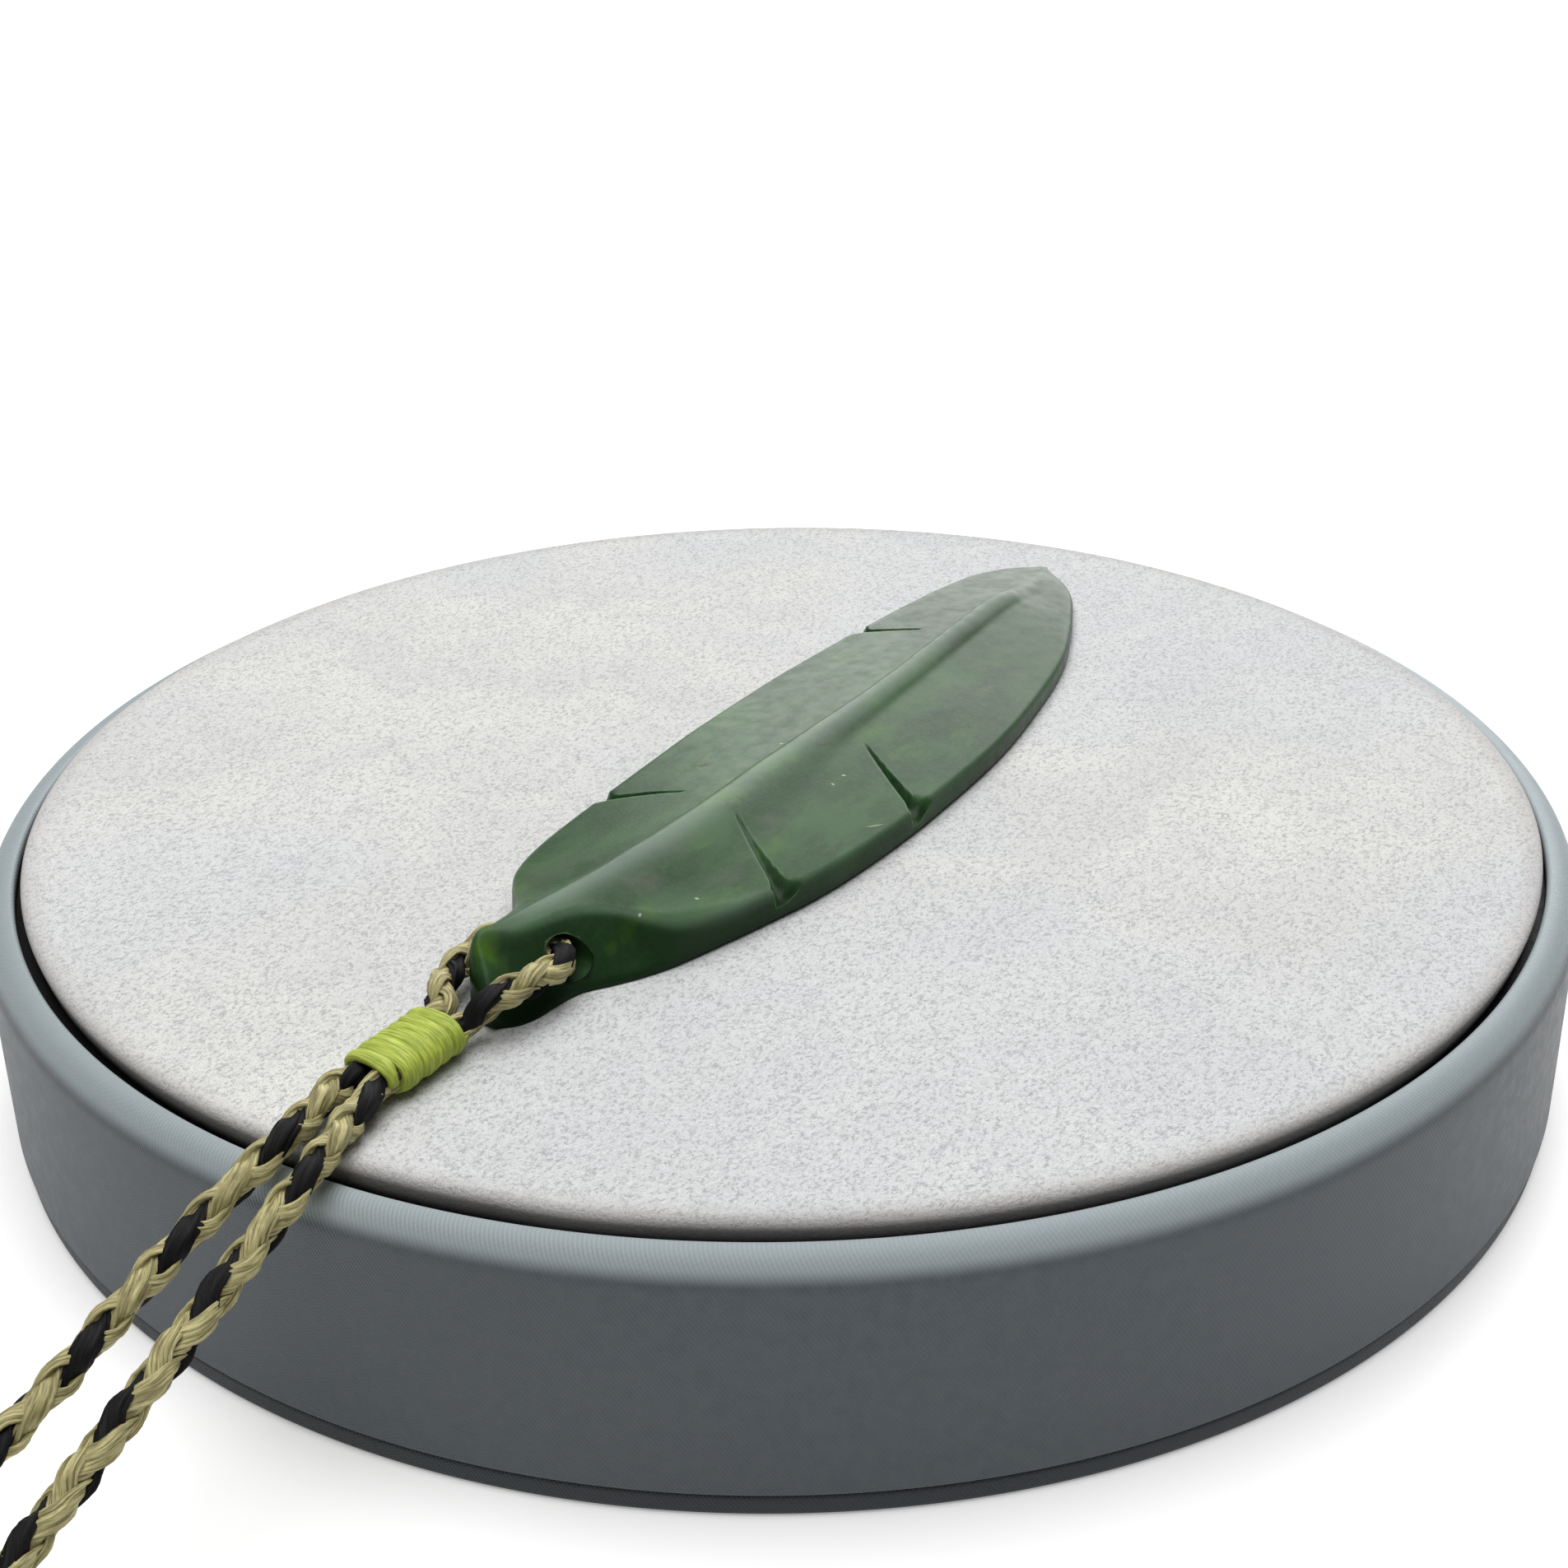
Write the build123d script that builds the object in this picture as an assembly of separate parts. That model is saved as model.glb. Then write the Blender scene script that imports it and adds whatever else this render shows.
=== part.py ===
"""Jade feather pendant on its plaited neck cord, lying on a round display stand.

Millimetres, +Z up, floor at Z = 0, origin under the middle of the stand.
The feather points along +Y and the cord runs off the stand along -Y.
"""
from build123d import *
import math
import os

os.makedirs("parts", exist_ok=True)

# Display stand
BASE_DIAMETER = 120.0
STAND_HEIGHT = 19.4
PLATE_THICKNESS = 1.7
PLATE_INSET = 0.25
PLATE_EDGE = 0.45
SEAM_CHAMFER = 0.3
RIM_DROP = 0.9
RIM_WIDTH = 2.4
RIM_OUTER_ROUND = 1.7
RIM_INNER_ROUND = 0.4
PAD_GROOVE = 0.45
PAD_THICKNESS = 2.3
PAD_ROUND = 1.0

# Carved feather
FEATHER_LENGTH = 89.0
FEATHER_WIDTH = 21.8
FEATHER_THICKNESS = 5.4
STEM_FROM_RIM = 19.6
STEM_MIDDLE = 3.3
RIDGE_HALF_WIDTH = 1.7
RIDGE_TIP_SHARE = 0.6
RIDGE_NEAR_SHARE = 1.35
RIDGE_ROOM = 0.6
RIDGE_SHOULDER = 0.55
SHOULDER_RISE = 0.78
EDGE_EASE = 0.45
EASE_OF_HEIGHT = 0.3
EASE_OF_WIDTH = 0.12
WALL_LEAN = 0.2
FEATHER_STATIONS = 46
STATION_CROWDING = 0.13

# Plaited cord and its bindings
CORD_DIAMETER = 2.3
CORD_SQUEEZED = 1.85
CORD_GAP = 0.15
SQUEEZE_LENGTH = 1.0
STRAND_GAP = 0.1
BINDING_OFFSET = -0.3
HOLE_CLEARANCE = 0.3
HOLE_ALONG = 6.3
HOLE_HEIGHT = 2.75
EYE_GAP = 3.2
BINDING_LENGTH = 7.5
BINDING_WALL = 0.45
BINDING_TURNS = 7
BINDING_FIT = 0.05
TURN_ROUND = 0.3
REAR_BINDING_LENGTH = 12.0
REAR_BINDING_TURNS = 11
CORD_END_GAP = 1.0
SAME_SIZE = 0.01
ARC_SHARE = 0.45

BASE_RADIUS = BASE_DIAMETER / 2
STEM_END = STEM_FROM_RIM - BASE_RADIUS
PAD_RADIUS = BASE_RADIUS - RIM_WIDTH - PAD_GROOVE
RIM_TOP = STAND_HEIGHT - RIM_DROP
CORD_RADIUS = CORD_DIAMETER / 2
SQUEEZED_RADIUS = CORD_SQUEEZED / 2

# Feather sections from the stem's end to the tip.
# along is a share of the length; far, crest, near and near_foot are shares of the width
# to the right of the stem's middle; far_z, crest_z, rise and near_z are shares of the thickness.
FEATHER_ROWS = [
    # along,  far,  far_z, crest, crest_z, rise, near, near_z, near_foot
    (0.000, 0.010, 0.26, 0.030, 0.31, 0.03, 0.049, 0.26, 0.061),
    (0.010, -0.069, 0.56, -0.035, 0.60, 0.04, 0.000, 0.55, 0.104),
    (0.025, -0.107, 0.86, -0.084, 0.92, 0.05, -0.059, 0.85, 0.126),
    (0.045, -0.108, 0.88, -0.054, 0.98, 0.09, 0.005, 0.91, 0.137),
    (0.070, -0.118, 0.85, -0.032, 1.00, 0.10, 0.044, 0.92, 0.158),
    (0.091, -0.158, 0.76, -0.018, 1.00, 0.13, 0.074, 0.91, 0.215),
    (0.111, -0.237, 0.66, -0.008, 1.00, 0.16, 0.128, 0.84, 0.266),
    (0.128, -0.296, 0.60, 0.000, 1.00, 0.18, 0.222, 0.72, 0.298),
    (0.147, -0.347, 0.57, 0.008, 1.00, 0.19, 0.301, 0.59, 0.323),
    (0.176, -0.389, 0.54, 0.014, 1.00, 0.19, 0.345, 0.51, 0.355),
    (0.215, -0.420, 0.52, 0.020, 0.99, 0.19, 0.390, 0.45, 0.396),
    (0.273, -0.444, 0.51, 0.022, 0.97, 0.19, 0.446, 0.41, 0.452),
    (0.352, -0.471, 0.50, 0.010, 0.94, 0.18, 0.483, 0.39, 0.488),
    (0.459, -0.495, 0.50, 0.000, 0.90, 0.17, 0.491, 0.38, 0.496),
    (0.586, -0.503, 0.48, -0.018, 0.84, 0.16, 0.464, 0.35, 0.467),
    (0.693, -0.495, 0.45, -0.057, 0.78, 0.15, 0.393, 0.32, 0.396),
    (0.791, -0.480, 0.41, -0.094, 0.71, 0.14, 0.296, 0.30, 0.300),
    (0.859, -0.456, 0.37, -0.120, 0.62, 0.11, 0.187, 0.28, 0.191),
    (0.893, -0.432, 0.34, -0.133, 0.49, 0.05, 0.124, 0.27, 0.128),
    (0.928, -0.400, 0.30, -0.148, 0.40, 0.01, 0.055, 0.25, 0.059),
    (0.957, -0.366, 0.26, -0.170, 0.33, 0.01, -0.022, 0.23, -0.018),
    (0.979, -0.328, 0.23, -0.190, 0.26, 0.01, -0.092, 0.21, -0.088),
    (0.992, -0.286, 0.21, -0.205, 0.23, 0.01, -0.142, 0.20, -0.138),
    (1.000, -0.244, 0.20, -0.213, 0.21, 0.01, -0.184, 0.19, -0.180),
]

# Notches between the barbs: side is +1 at the near vane and -1 at the far one, edge and inner
# are places along the length, reach is how far in from the edge to the ridge, mouth is in mm.
NOTCHES = [
    # side, edge, inner, reach, mouth
    (1, 0.242, 0.290, 0.79, 1.8),
    (1, 0.422, 0.476, 0.69, 1.4),
    (-1, 0.285, 0.322, 0.59, 1.3),
    (-1, 0.718, 0.746, 0.60, 1.2),
]
NOTCH_OVERRUN = 1.3
NOTCH_FLOOR_SHARE = 0.35
NOTCH_TIP_WIDTH = 0.2
NOTCH_TIP_DEPTH = 0.25

# Cord route behind the front binding: sideways in mm, beyond the stand's rim in mm,
# lift 1 where it lies on the suede and 0 on the floor.
NEAR_ROUTE = [
    (5.6, -3.0, 1.00),
    (7.0, 6.0, 0.885),
    (8.2, 22.0, 0.605),
    (11.2, 50.0, 0.135),
    (23.0, 87.0, 0.0),
    (51.0, 129.0, 0.0),
    (69.0, 180.0, 0.0),
    (66.0, 229.0, 0.0),
    (41.0, 266.0, 0.0),
]
FAR_ROUTE = [
    (2.3, -3.0, 1.00),
    (2.1, 6.0, 0.885),
    (2.2, 22.0, 0.605),
    (-1.8, 50.0, 0.135),
    (-18.0, 86.0, 0.0),
    (-49.0, 127.0, 0.0),
    (-66.0, 177.0, 0.0),
    (-64.0, 227.0, 0.0),
    (-38.0, 265.0, 0.0),
]
REAR_HALF_RUN = 14.0
REAR_BEYOND = 279.0

# Each half of the eye between the binding and the hole: out is a share of the way to the
# stem's side, beyond is mm past the stem's end, lift is a share of the way up to the hole.
EYE_ROUTE = [
    (0.20, -1.1, 0.30),
    (0.95, 1.4, 1.05),
]


def feather_row(share):
    """Every column of the feather's table at one share of its length, smoothly between rows."""
    share = min(max(share, 0.0), 1.0)
    last = len(FEATHER_ROWS) - 2
    index = max(i for i in range(last + 1) if FEATHER_ROWS[i][0] <= share)
    before = FEATHER_ROWS[max(index - 1, 0)]
    start = FEATHER_ROWS[index]
    end = FEATHER_ROWS[index + 1]
    after = FEATHER_ROWS[min(index + 2, last + 1)]
    span = end[0] - start[0]
    t = (share - start[0]) / span
    values = []
    for column in range(1, len(start)):
        slope_start = (end[column] - before[column]) / (end[0] - before[0]) * span
        slope_end = (after[column] - start[column]) / (after[0] - start[0]) * span
        values.append(
            start[column] * (2 * t**3 - 3 * t**2 + 1) + slope_start * (t**3 - 2 * t**2 + t)
            + end[column] * (3 * t**2 - 2 * t**3) + slope_end * (t**3 - t**2)
        )
    return values


def feather_sizes(share):
    """The same columns in millimetres: distances across from the stem's middle, then heights."""
    far, far_z, crest, crest_z, rise, near, near_z, near_foot = feather_row(share)
    across = [value * FEATHER_WIDTH for value in (far, crest, near, near_foot)]
    heights = [value * FEATHER_THICKNESS for value in (far_z, crest_z, rise, near_z)]
    return across + heights


def feather_profile(share):
    """One section as (across, height) points, from the far bottom edge over the ridge to the near one."""
    far, crest, near, near_foot, far_z, crest_z, rise, near_z = feather_sizes(share)
    ease = min(EDGE_EASE, EASE_OF_HEIGHT * near_z, EASE_OF_WIDTH * (near_foot - far))
    apex = crest_z - rise
    ridge = RIDGE_HALF_WIDTH * (1 - share * (1 - RIDGE_TIP_SHARE))
    far_half = min(ridge, RIDGE_ROOM * (crest - far))
    near_half = min(ridge * RIDGE_NEAR_SHARE, RIDGE_ROOM * (near - crest))
    far_foot_z = apex + (far_z - apex) * far_half / (crest - far)
    near_foot_z = apex + (near_z - apex) * near_half / (near - crest)
    points = [
        (far - WALL_LEAN + ease, 0.0),
        (far - WALL_LEAN, ease),
        (far, far_z - ease),
        (far + ease, far_z),
        (crest - far_half, far_foot_z),
        (crest - far_half * RIDGE_SHOULDER, far_foot_z + (crest_z - far_foot_z) * SHOULDER_RISE),
        (crest, crest_z),
        (crest + near_half * RIDGE_SHOULDER, near_foot_z + (crest_z - near_foot_z) * SHOULDER_RISE),
        (crest + near_half, near_foot_z),
        (near - ease, near_z),
        (near, near_z - ease),
        (near_foot, ease),
        (near_foot - ease, 0.0),
    ]
    return points


def on_stand(across, share, height):
    """A point of the feather in the stand's frame."""
    return (STEM_MIDDLE + across, STEM_END + share * FEATHER_LENGTH, STAND_HEIGHT + height)


def faceted(rings):
    """A closed solid of flat triangles between rings of equal point count, with flat ends."""
    faces = [Face(Wire.make_polygon(rings[0])), Face(Wire.make_polygon(rings[-1]))]
    count = len(rings[0])
    for ring, following in zip(rings, rings[1:]):
        for i in range(count):
            j = (i + 1) % count
            faces.append(Face(Wire.make_polygon([ring[i], ring[j], following[j]])))
            faces.append(Face(Wire.make_polygon([ring[i], following[j], following[i]])))
    return Solid(Shell(faces))


def station_shares():
    """Shares of the length at which the feather is cut into sections, closer at both ends."""
    steps = [i / (FEATHER_STATIONS - 1) for i in range(FEATHER_STATIONS)]
    return [step - STATION_CROWDING * math.sin(2 * math.pi * step) for step in steps]


def notch_cutter(side, edge, inner, reach, mouth):
    """A wedge that opens from a fine tip near the ridge to its mouth outside the vane's edge."""
    far, _, near, _, _, _, _, _ = feather_sizes(edge)
    outer = near if side > 0 else far
    crest = feather_sizes(inner)[1]
    tip = outer + (crest - outer) * reach
    tip_height = surface_height(tip, inner)
    direction = Vector(tip - outer, (inner - edge) * FEATHER_LENGTH).normalized()
    square = Vector(-direction.Y, direction.X)
    start = Vector(outer, edge * FEATHER_LENGTH) - direction * NOTCH_OVERRUN
    finish = Vector(tip, inner * FEATHER_LENGTH)
    top = FEATHER_THICKNESS + NOTCH_OVERRUN
    rings = []
    ends = [
        (start, mouth, mouth * NOTCH_FLOOR_SHARE, -EDGE_EASE),
        (finish, NOTCH_TIP_WIDTH, NOTCH_TIP_WIDTH / 2, tip_height - NOTCH_TIP_DEPTH),
    ]
    for centre, width, floor_width, floor in ends:
        corners = [(-width, top), (-floor_width, floor), (floor_width, floor), (width, top)]
        ring = []
        for offset, height in corners:
            spot = centre + square * (offset / 2)
            ring.append(on_stand(spot.X, spot.Y / FEATHER_LENGTH, height))
        rings.append(ring)
    return faceted(rings)


def surface_height(across, share):
    """Height of the carved top at one spot."""
    points = feather_profile(share)[2:11]
    for (x0, z0), (x1, z1) in zip(points, points[1:]):
        if x0 <= across <= x1:
            return z0 + (z1 - z0) * (across - x0) / (x1 - x0)
    return points[-1][1]


def wall_at(share, height):
    """Far and near walls of the stem at one height, in the stand's frame."""
    far, _, near, near_foot, _, _, _, near_z = feather_sizes(share)
    slope = (near - near_foot) / near_z
    return STEM_MIDDLE + far - WALL_LEAN, STEM_MIDDLE + near_foot + slope * height


def corner_radii(points):
    """An arc at each inner point, as large as its two runs allow."""
    vectors = [Vector(*point) for point in points]
    runs = [b - a for a, b in zip(vectors, vectors[1:])]
    radii = []
    for run, following in zip(runs, runs[1:]):
        half_turn = math.radians(run.get_angle(following)) / 2
        shorter = min(run.length, following.length)
        radii.append(ARC_SHARE * shorter / math.tan(half_turn))
    return radii


def tube(name, points, diameter):
    """A round tube along straight runs joined by tangent arcs."""
    radii = corner_radii(points)
    path = FilletPolyline(*points, radius=radii)
    section = Plane(path @ 0, z_dir=path % 0) * Circle(diameter / 2)
    solid = sweep(section, path=path).solid()
    ideal = path.length * math.pi * diameter**2 / 4
    runs = [math.dist(a, b) for a, b in zip(points, points[1:])]
    print(name, "length", round(path.length, 1), "volume ratio", round(solid.volume / ideal, 4))
    print("  runs", [round(run, 1) for run in runs], "radii", [round(radius, 1) for radius in radii])
    return solid


def squeeze(start, start_radius, finish, finish_radius):
    """A straight piece of cord between two round ends that both face along Y."""
    ends = [
        Plane(centre, z_dir=(0, -1, 0)) * Circle(radius)
        for centre, radius in ((start, start_radius), (finish, finish_radius))
    ]
    return loft(ends, ruled=True).solid()


def wound_sleeve(plane, length, turns, width, height, bore_width, bore_height):
    """Turns of thread side by side round a slot, along the plane's normal."""
    pitch = length / turns
    body = None
    for turn in range(turns):
        outline = Plane(plane.origin + plane.z_dir * (turn * pitch), plane.x_dir, plane.z_dir)
        disc = extrude(outline * slot(width, height), pitch)
        rims = disc.edges().filter_by(lambda edge: abs(edge.tangent_at(0.5).dot(plane.z_dir)) < 0.01)
        disc = fillet(rims, TURN_ROUND)
        body = disc if body is None else body + disc
    hole = extrude(plane * slot(bore_width, bore_height), length)
    return (body - hole).solid()


def slot(width, height):
    """A round or long-sided slot outline."""
    if abs(width - height) < SAME_SIZE:
        return Circle(width / 2)
    return SlotOverall(width, height)


# Stand
base = Pos(0, 0, PLATE_THICKNESS) * Cylinder(
    BASE_RADIUS, RIM_TOP - PLATE_THICKNESS, align=(Align.CENTER, Align.CENTER, Align.MIN)
)
recess_floor = STAND_HEIGHT - PAD_THICKNESS
base -= Pos(0, 0, recess_floor) * Cylinder(
    PAD_RADIUS + PAD_GROOVE, STAND_HEIGHT, align=(Align.CENTER, Align.CENTER, Align.MIN)
)
rim_edges = base.edges().filter_by_position(Axis.Z, RIM_TOP, RIM_TOP).sort_by(SortBy.LENGTH)
base = fillet(rim_edges[-1], RIM_OUTER_ROUND)
rim_edges = base.edges().filter_by_position(Axis.Z, RIM_TOP, RIM_TOP).sort_by(SortBy.LENGTH)
base = fillet(rim_edges[0], RIM_INNER_ROUND)
base = chamfer(base.edges().filter_by_position(Axis.Z, PLATE_THICKNESS, PLATE_THICKNESS), SEAM_CHAMFER)

plate = Cylinder(
    BASE_RADIUS - PLATE_INSET, PLATE_THICKNESS, align=(Align.CENTER, Align.CENTER, Align.MIN)
)
plate = fillet(plate.edges().filter_by(GeomType.CIRCLE), PLATE_EDGE)

pad = Pos(0, 0, recess_floor) * Cylinder(
    PAD_RADIUS, PAD_THICKNESS, align=(Align.CENTER, Align.CENTER, Align.MIN)
)
pad = fillet(pad.edges().filter_by_position(Axis.Z, STAND_HEIGHT, STAND_HEIGHT), PAD_ROUND)

# Cord: an eye through the stem's hole, two squeezed stretches in the binding, two long sides
hole_share = HOLE_ALONG / FEATHER_LENGTH
hole_y = STEM_END + HOLE_ALONG
hole_z = STAND_HEIGHT + HOLE_HEIGHT
far_wall, near_wall = wall_at(hole_share, HOLE_HEIGHT)
far_side = far_wall - CORD_RADIUS - CORD_GAP
near_side = near_wall + CORD_RADIUS + CORD_GAP
binding_front = STEM_END - EYE_GAP
binding_back = binding_front - BINDING_LENGTH
binding_height = CORD_SQUEEZED + 2 * (BINDING_WALL + BINDING_FIT)
binding_width = 2 * CORD_SQUEEZED + STRAND_GAP + 2 * (BINDING_WALL + BINDING_FIT)
binding_z = STAND_HEIGHT + binding_height / 2 + CORD_GAP
binding_x = STEM_MIDDLE + BINDING_OFFSET
rear_y = -BASE_RADIUS - REAR_BEYOND
cord_rest = CORD_RADIUS + CORD_GAP
rear_outer = CORD_DIAMETER + 2 * (BINDING_WALL + BINDING_FIT)
rear_rest = rear_outer / 2 + CORD_GAP

open_across = CORD_RADIUS + STRAND_GAP / 2
squeezed_across = SQUEEZED_RADIUS + STRAND_GAP / 2


def eye_side(side, outer):
    """Half of the eye, from the binding to the corner where it turns into the stem's hole."""
    start = binding_x + side * open_across
    points = [(start, binding_front + SQUEEZE_LENGTH, binding_z)]
    for out, beyond, lift in EYE_ROUTE:
        points.append((
            start + (outer - start) * out,
            STEM_END + beyond,
            binding_z + (hole_z - binding_z) * lift,
        ))
    points.append((outer, hole_y, hole_z))
    return points


eye_route = eye_side(1, near_side) + eye_side(-1, far_side)[::-1]
cord = tube("eye", eye_route, CORD_DIAMETER)
for side, route in ((1, NEAR_ROUTE), (-1, FAR_ROUTE)):
    stations = [
        (binding_x + side * open_across, binding_front + SQUEEZE_LENGTH, CORD_RADIUS),
        (binding_x + side * squeezed_across, binding_front, SQUEEZED_RADIUS),
        (binding_x + side * squeezed_across, binding_back, SQUEEZED_RADIUS),
        (binding_x + side * open_across, binding_back - SQUEEZE_LENGTH, CORD_RADIUS),
    ]
    for (x0, y0, r0), (x1, y1, r1) in zip(stations, stations[1:]):
        cord += squeeze((x0, y0, binding_z), r0, (x1, y1, binding_z), r1)
    points = [(binding_x + side * open_across, binding_back - SQUEEZE_LENGTH, binding_z)]
    for sideways, beyond, lift in route:
        points.append((sideways, -BASE_RADIUS - beyond, cord_rest + lift * STAND_HEIGHT))
    points.append((side * REAR_HALF_RUN, rear_y, rear_rest))
    points.append((side * CORD_END_GAP / 2, rear_y, rear_rest))
    cord += tube("near side" if side > 0 else "far side", points, CORD_DIAMETER)
cord = cord.solid()

front_binding = wound_sleeve(
    Plane((binding_x, binding_front, binding_z), (1, 0, 0), (0, -1, 0)),
    BINDING_LENGTH, BINDING_TURNS, binding_width, binding_height,
    2 * (CORD_SQUEEZED + BINDING_FIT) + STRAND_GAP, CORD_SQUEEZED + 2 * BINDING_FIT,
)
rear_bore = CORD_DIAMETER + 2 * BINDING_FIT
rear_binding = wound_sleeve(
    Plane((-REAR_BINDING_LENGTH / 2, rear_y, rear_rest), (0, 1, 0), (1, 0, 0)),
    REAR_BINDING_LENGTH, REAR_BINDING_TURNS, rear_outer, rear_outer, rear_bore, rear_bore,
)

# Feather
feather = faceted([
    [on_stand(across, share, height) for across, height in feather_profile(share)]
    for share in station_shares()
])
for notch in NOTCHES:
    feather = feather - notch_cutter(*notch)
feather = (feather - tube("stem hole", eye_route, CORD_DIAMETER + 2 * HOLE_CLEARANCE)).solid()

parts = {
    "stand_base": base,
    "bottom_plate": plate,
    "suede_pad": pad,
    "feather": feather,
    "braided_cord": cord,
    "front_binding": front_binding,
    "rear_binding": rear_binding,
}
for name, solid in parts.items():
    export_step(solid, f"parts/{name}.step")
    print(name, round(solid.volume, 1), solid.is_valid)
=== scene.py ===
"""Jade feather pendant on its plaited neck cord, lying on a round display stand.

Metres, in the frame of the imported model: +Z up, the floor at Z = 0, the feather along +Y.
"""
import math

import bmesh
import bpy
import numpy as np
from mathutils import Matrix, Vector, noise


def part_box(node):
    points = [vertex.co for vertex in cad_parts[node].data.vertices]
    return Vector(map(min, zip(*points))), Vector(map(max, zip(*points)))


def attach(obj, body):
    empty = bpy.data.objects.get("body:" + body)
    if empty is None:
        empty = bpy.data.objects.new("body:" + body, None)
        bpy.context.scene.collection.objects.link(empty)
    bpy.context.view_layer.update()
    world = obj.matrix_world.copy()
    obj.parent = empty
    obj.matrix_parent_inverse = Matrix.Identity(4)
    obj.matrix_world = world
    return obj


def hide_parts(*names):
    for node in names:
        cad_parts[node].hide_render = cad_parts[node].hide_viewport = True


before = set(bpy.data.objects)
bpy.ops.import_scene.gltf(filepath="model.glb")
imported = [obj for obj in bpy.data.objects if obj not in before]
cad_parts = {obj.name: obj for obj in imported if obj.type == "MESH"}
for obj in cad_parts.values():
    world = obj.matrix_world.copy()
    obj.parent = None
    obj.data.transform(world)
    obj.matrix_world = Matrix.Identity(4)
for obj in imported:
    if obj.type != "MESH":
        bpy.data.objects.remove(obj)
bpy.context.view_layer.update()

MM = 0.001
BODY = "root"

# Camera, as it stood for the photograph
CAMERA_PLACE = (0.09005, -0.13796, 0.09949)
CAMERA_TURN = 33.0
CAMERA_DIP = 26.106
CAMERA_ROLL = -0.914
CAMERA_LENS = 53.86
SENSOR_WIDTH = 36.0
FLOOR_HALF_WIDTH = 1.6

# Display stand
BASE_RADIUS = 0.060
STAND_HEIGHT = 0.0194
PLATE_THICKNESS = 0.0017
PLATE_INSET = 0.00025
PLATE_EDGE = 0.00045
SEAM_CHAMFER = 0.0003
RIM_DROP = 0.0009
RIM_WIDTH = 0.0024
RIM_OUTER_ACROSS = 0.0020
RIM_OUTER_DOWN = 0.0023
RIM_INNER_ROUND = RIM_WIDTH - RIM_OUTER_ACROSS
PAD_GROOVE = 0.00045
PAD_THICKNESS = 0.0023
PAD_ROUND = 0.0007
PAD_UNDERCUT = 0.00035
PAD_WAIST_SHARE = 0.4
PAD_BOTTOM_INSET = 0.0006
PAD_BOTTOM_ROUND = 0.0002
PAD_WAIST_DOWN = 0.0004
PAD_FACE_RING = 0.002
PAD_SHIFT = (-0.00018, 0.00028)
RIM_TOP = STAND_HEIGHT - RIM_DROP
PAD_RADIUS = BASE_RADIUS - RIM_WIDTH - PAD_GROOVE
STAND_SEGMENTS = 540

# Carved feather
FEATHER_LENGTH = 0.0890
FEATHER_WIDTH = 0.0218
FEATHER_THICKNESS = 0.0054
STEM_END = -0.0404
STEM_MIDDLE = 0.0033
RIDGE_HALF_WIDTH = 0.0017
RIDGE_TIP_SHARE = 0.6
RIDGE_ROOM = 0.6
RIDGE_FULLNESS = 2.5
EDGE_EASE = 0.00045
EASE_OF_HEIGHT = 0.3
EASE_OF_WIDTH = 0.12
EASE_ROOM = 0.6
VANE_CROWDING = 0.12
WALL_LEAN = 0.0002
NEAR_UNDERSIDE_EASE = 0.0007
FAR_UNDERSIDE_EASE = 0.0003
UNDERSIDE_SHARE = 0.35
UNDERSIDE_INSET_SHARE = 0.2
UNDERSIDE_RING = 0.001
UNDERSIDE_RING_SHARE = 0.35
SHOULDER_EASE = 0.0008
SHOULDER_PLACE = 0.15
SHOULDER_SPREAD = 0.04
SHOULDER_OF_HEIGHT = 0.55
TIP_BEVEL = 1.3

# Pairs: at the stem and towards the tip
RIDGE_NEAR = (2.3, 1.35)
NEAR_FULLNESS = (1.65, 1.99)
NEAR_RISE = (0.15, 0.45)
RIDGE_BLEND = (0.00055, 0.00014)
# Band of painted highlight along the crest: its width and strength.
CREST_BAND = (0.0012, 0.0007)
CREST_HIGHLIGHT = (0.50, 0.20)

# Plaited cord
CORD_RADIUS = 0.00115
CORD_GAP = 0.00015
BINDING_X = 0.0030
BINDING_FRONT = -0.0436
BINDING_LENGTH = 0.0075
BINDING_BACK = BINDING_FRONT - BINDING_LENGTH
BINDING_Z = STAND_HEIGHT + 0.001575
OPEN_ACROSS = 0.0012
SQUEEZED_ACROSS = 0.000975
SQUEEZE_LENGTH = 0.0010
CORD_REST = CORD_RADIUS + CORD_GAP
REAR_REST = 0.0018
REAR_Y = -0.339

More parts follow.
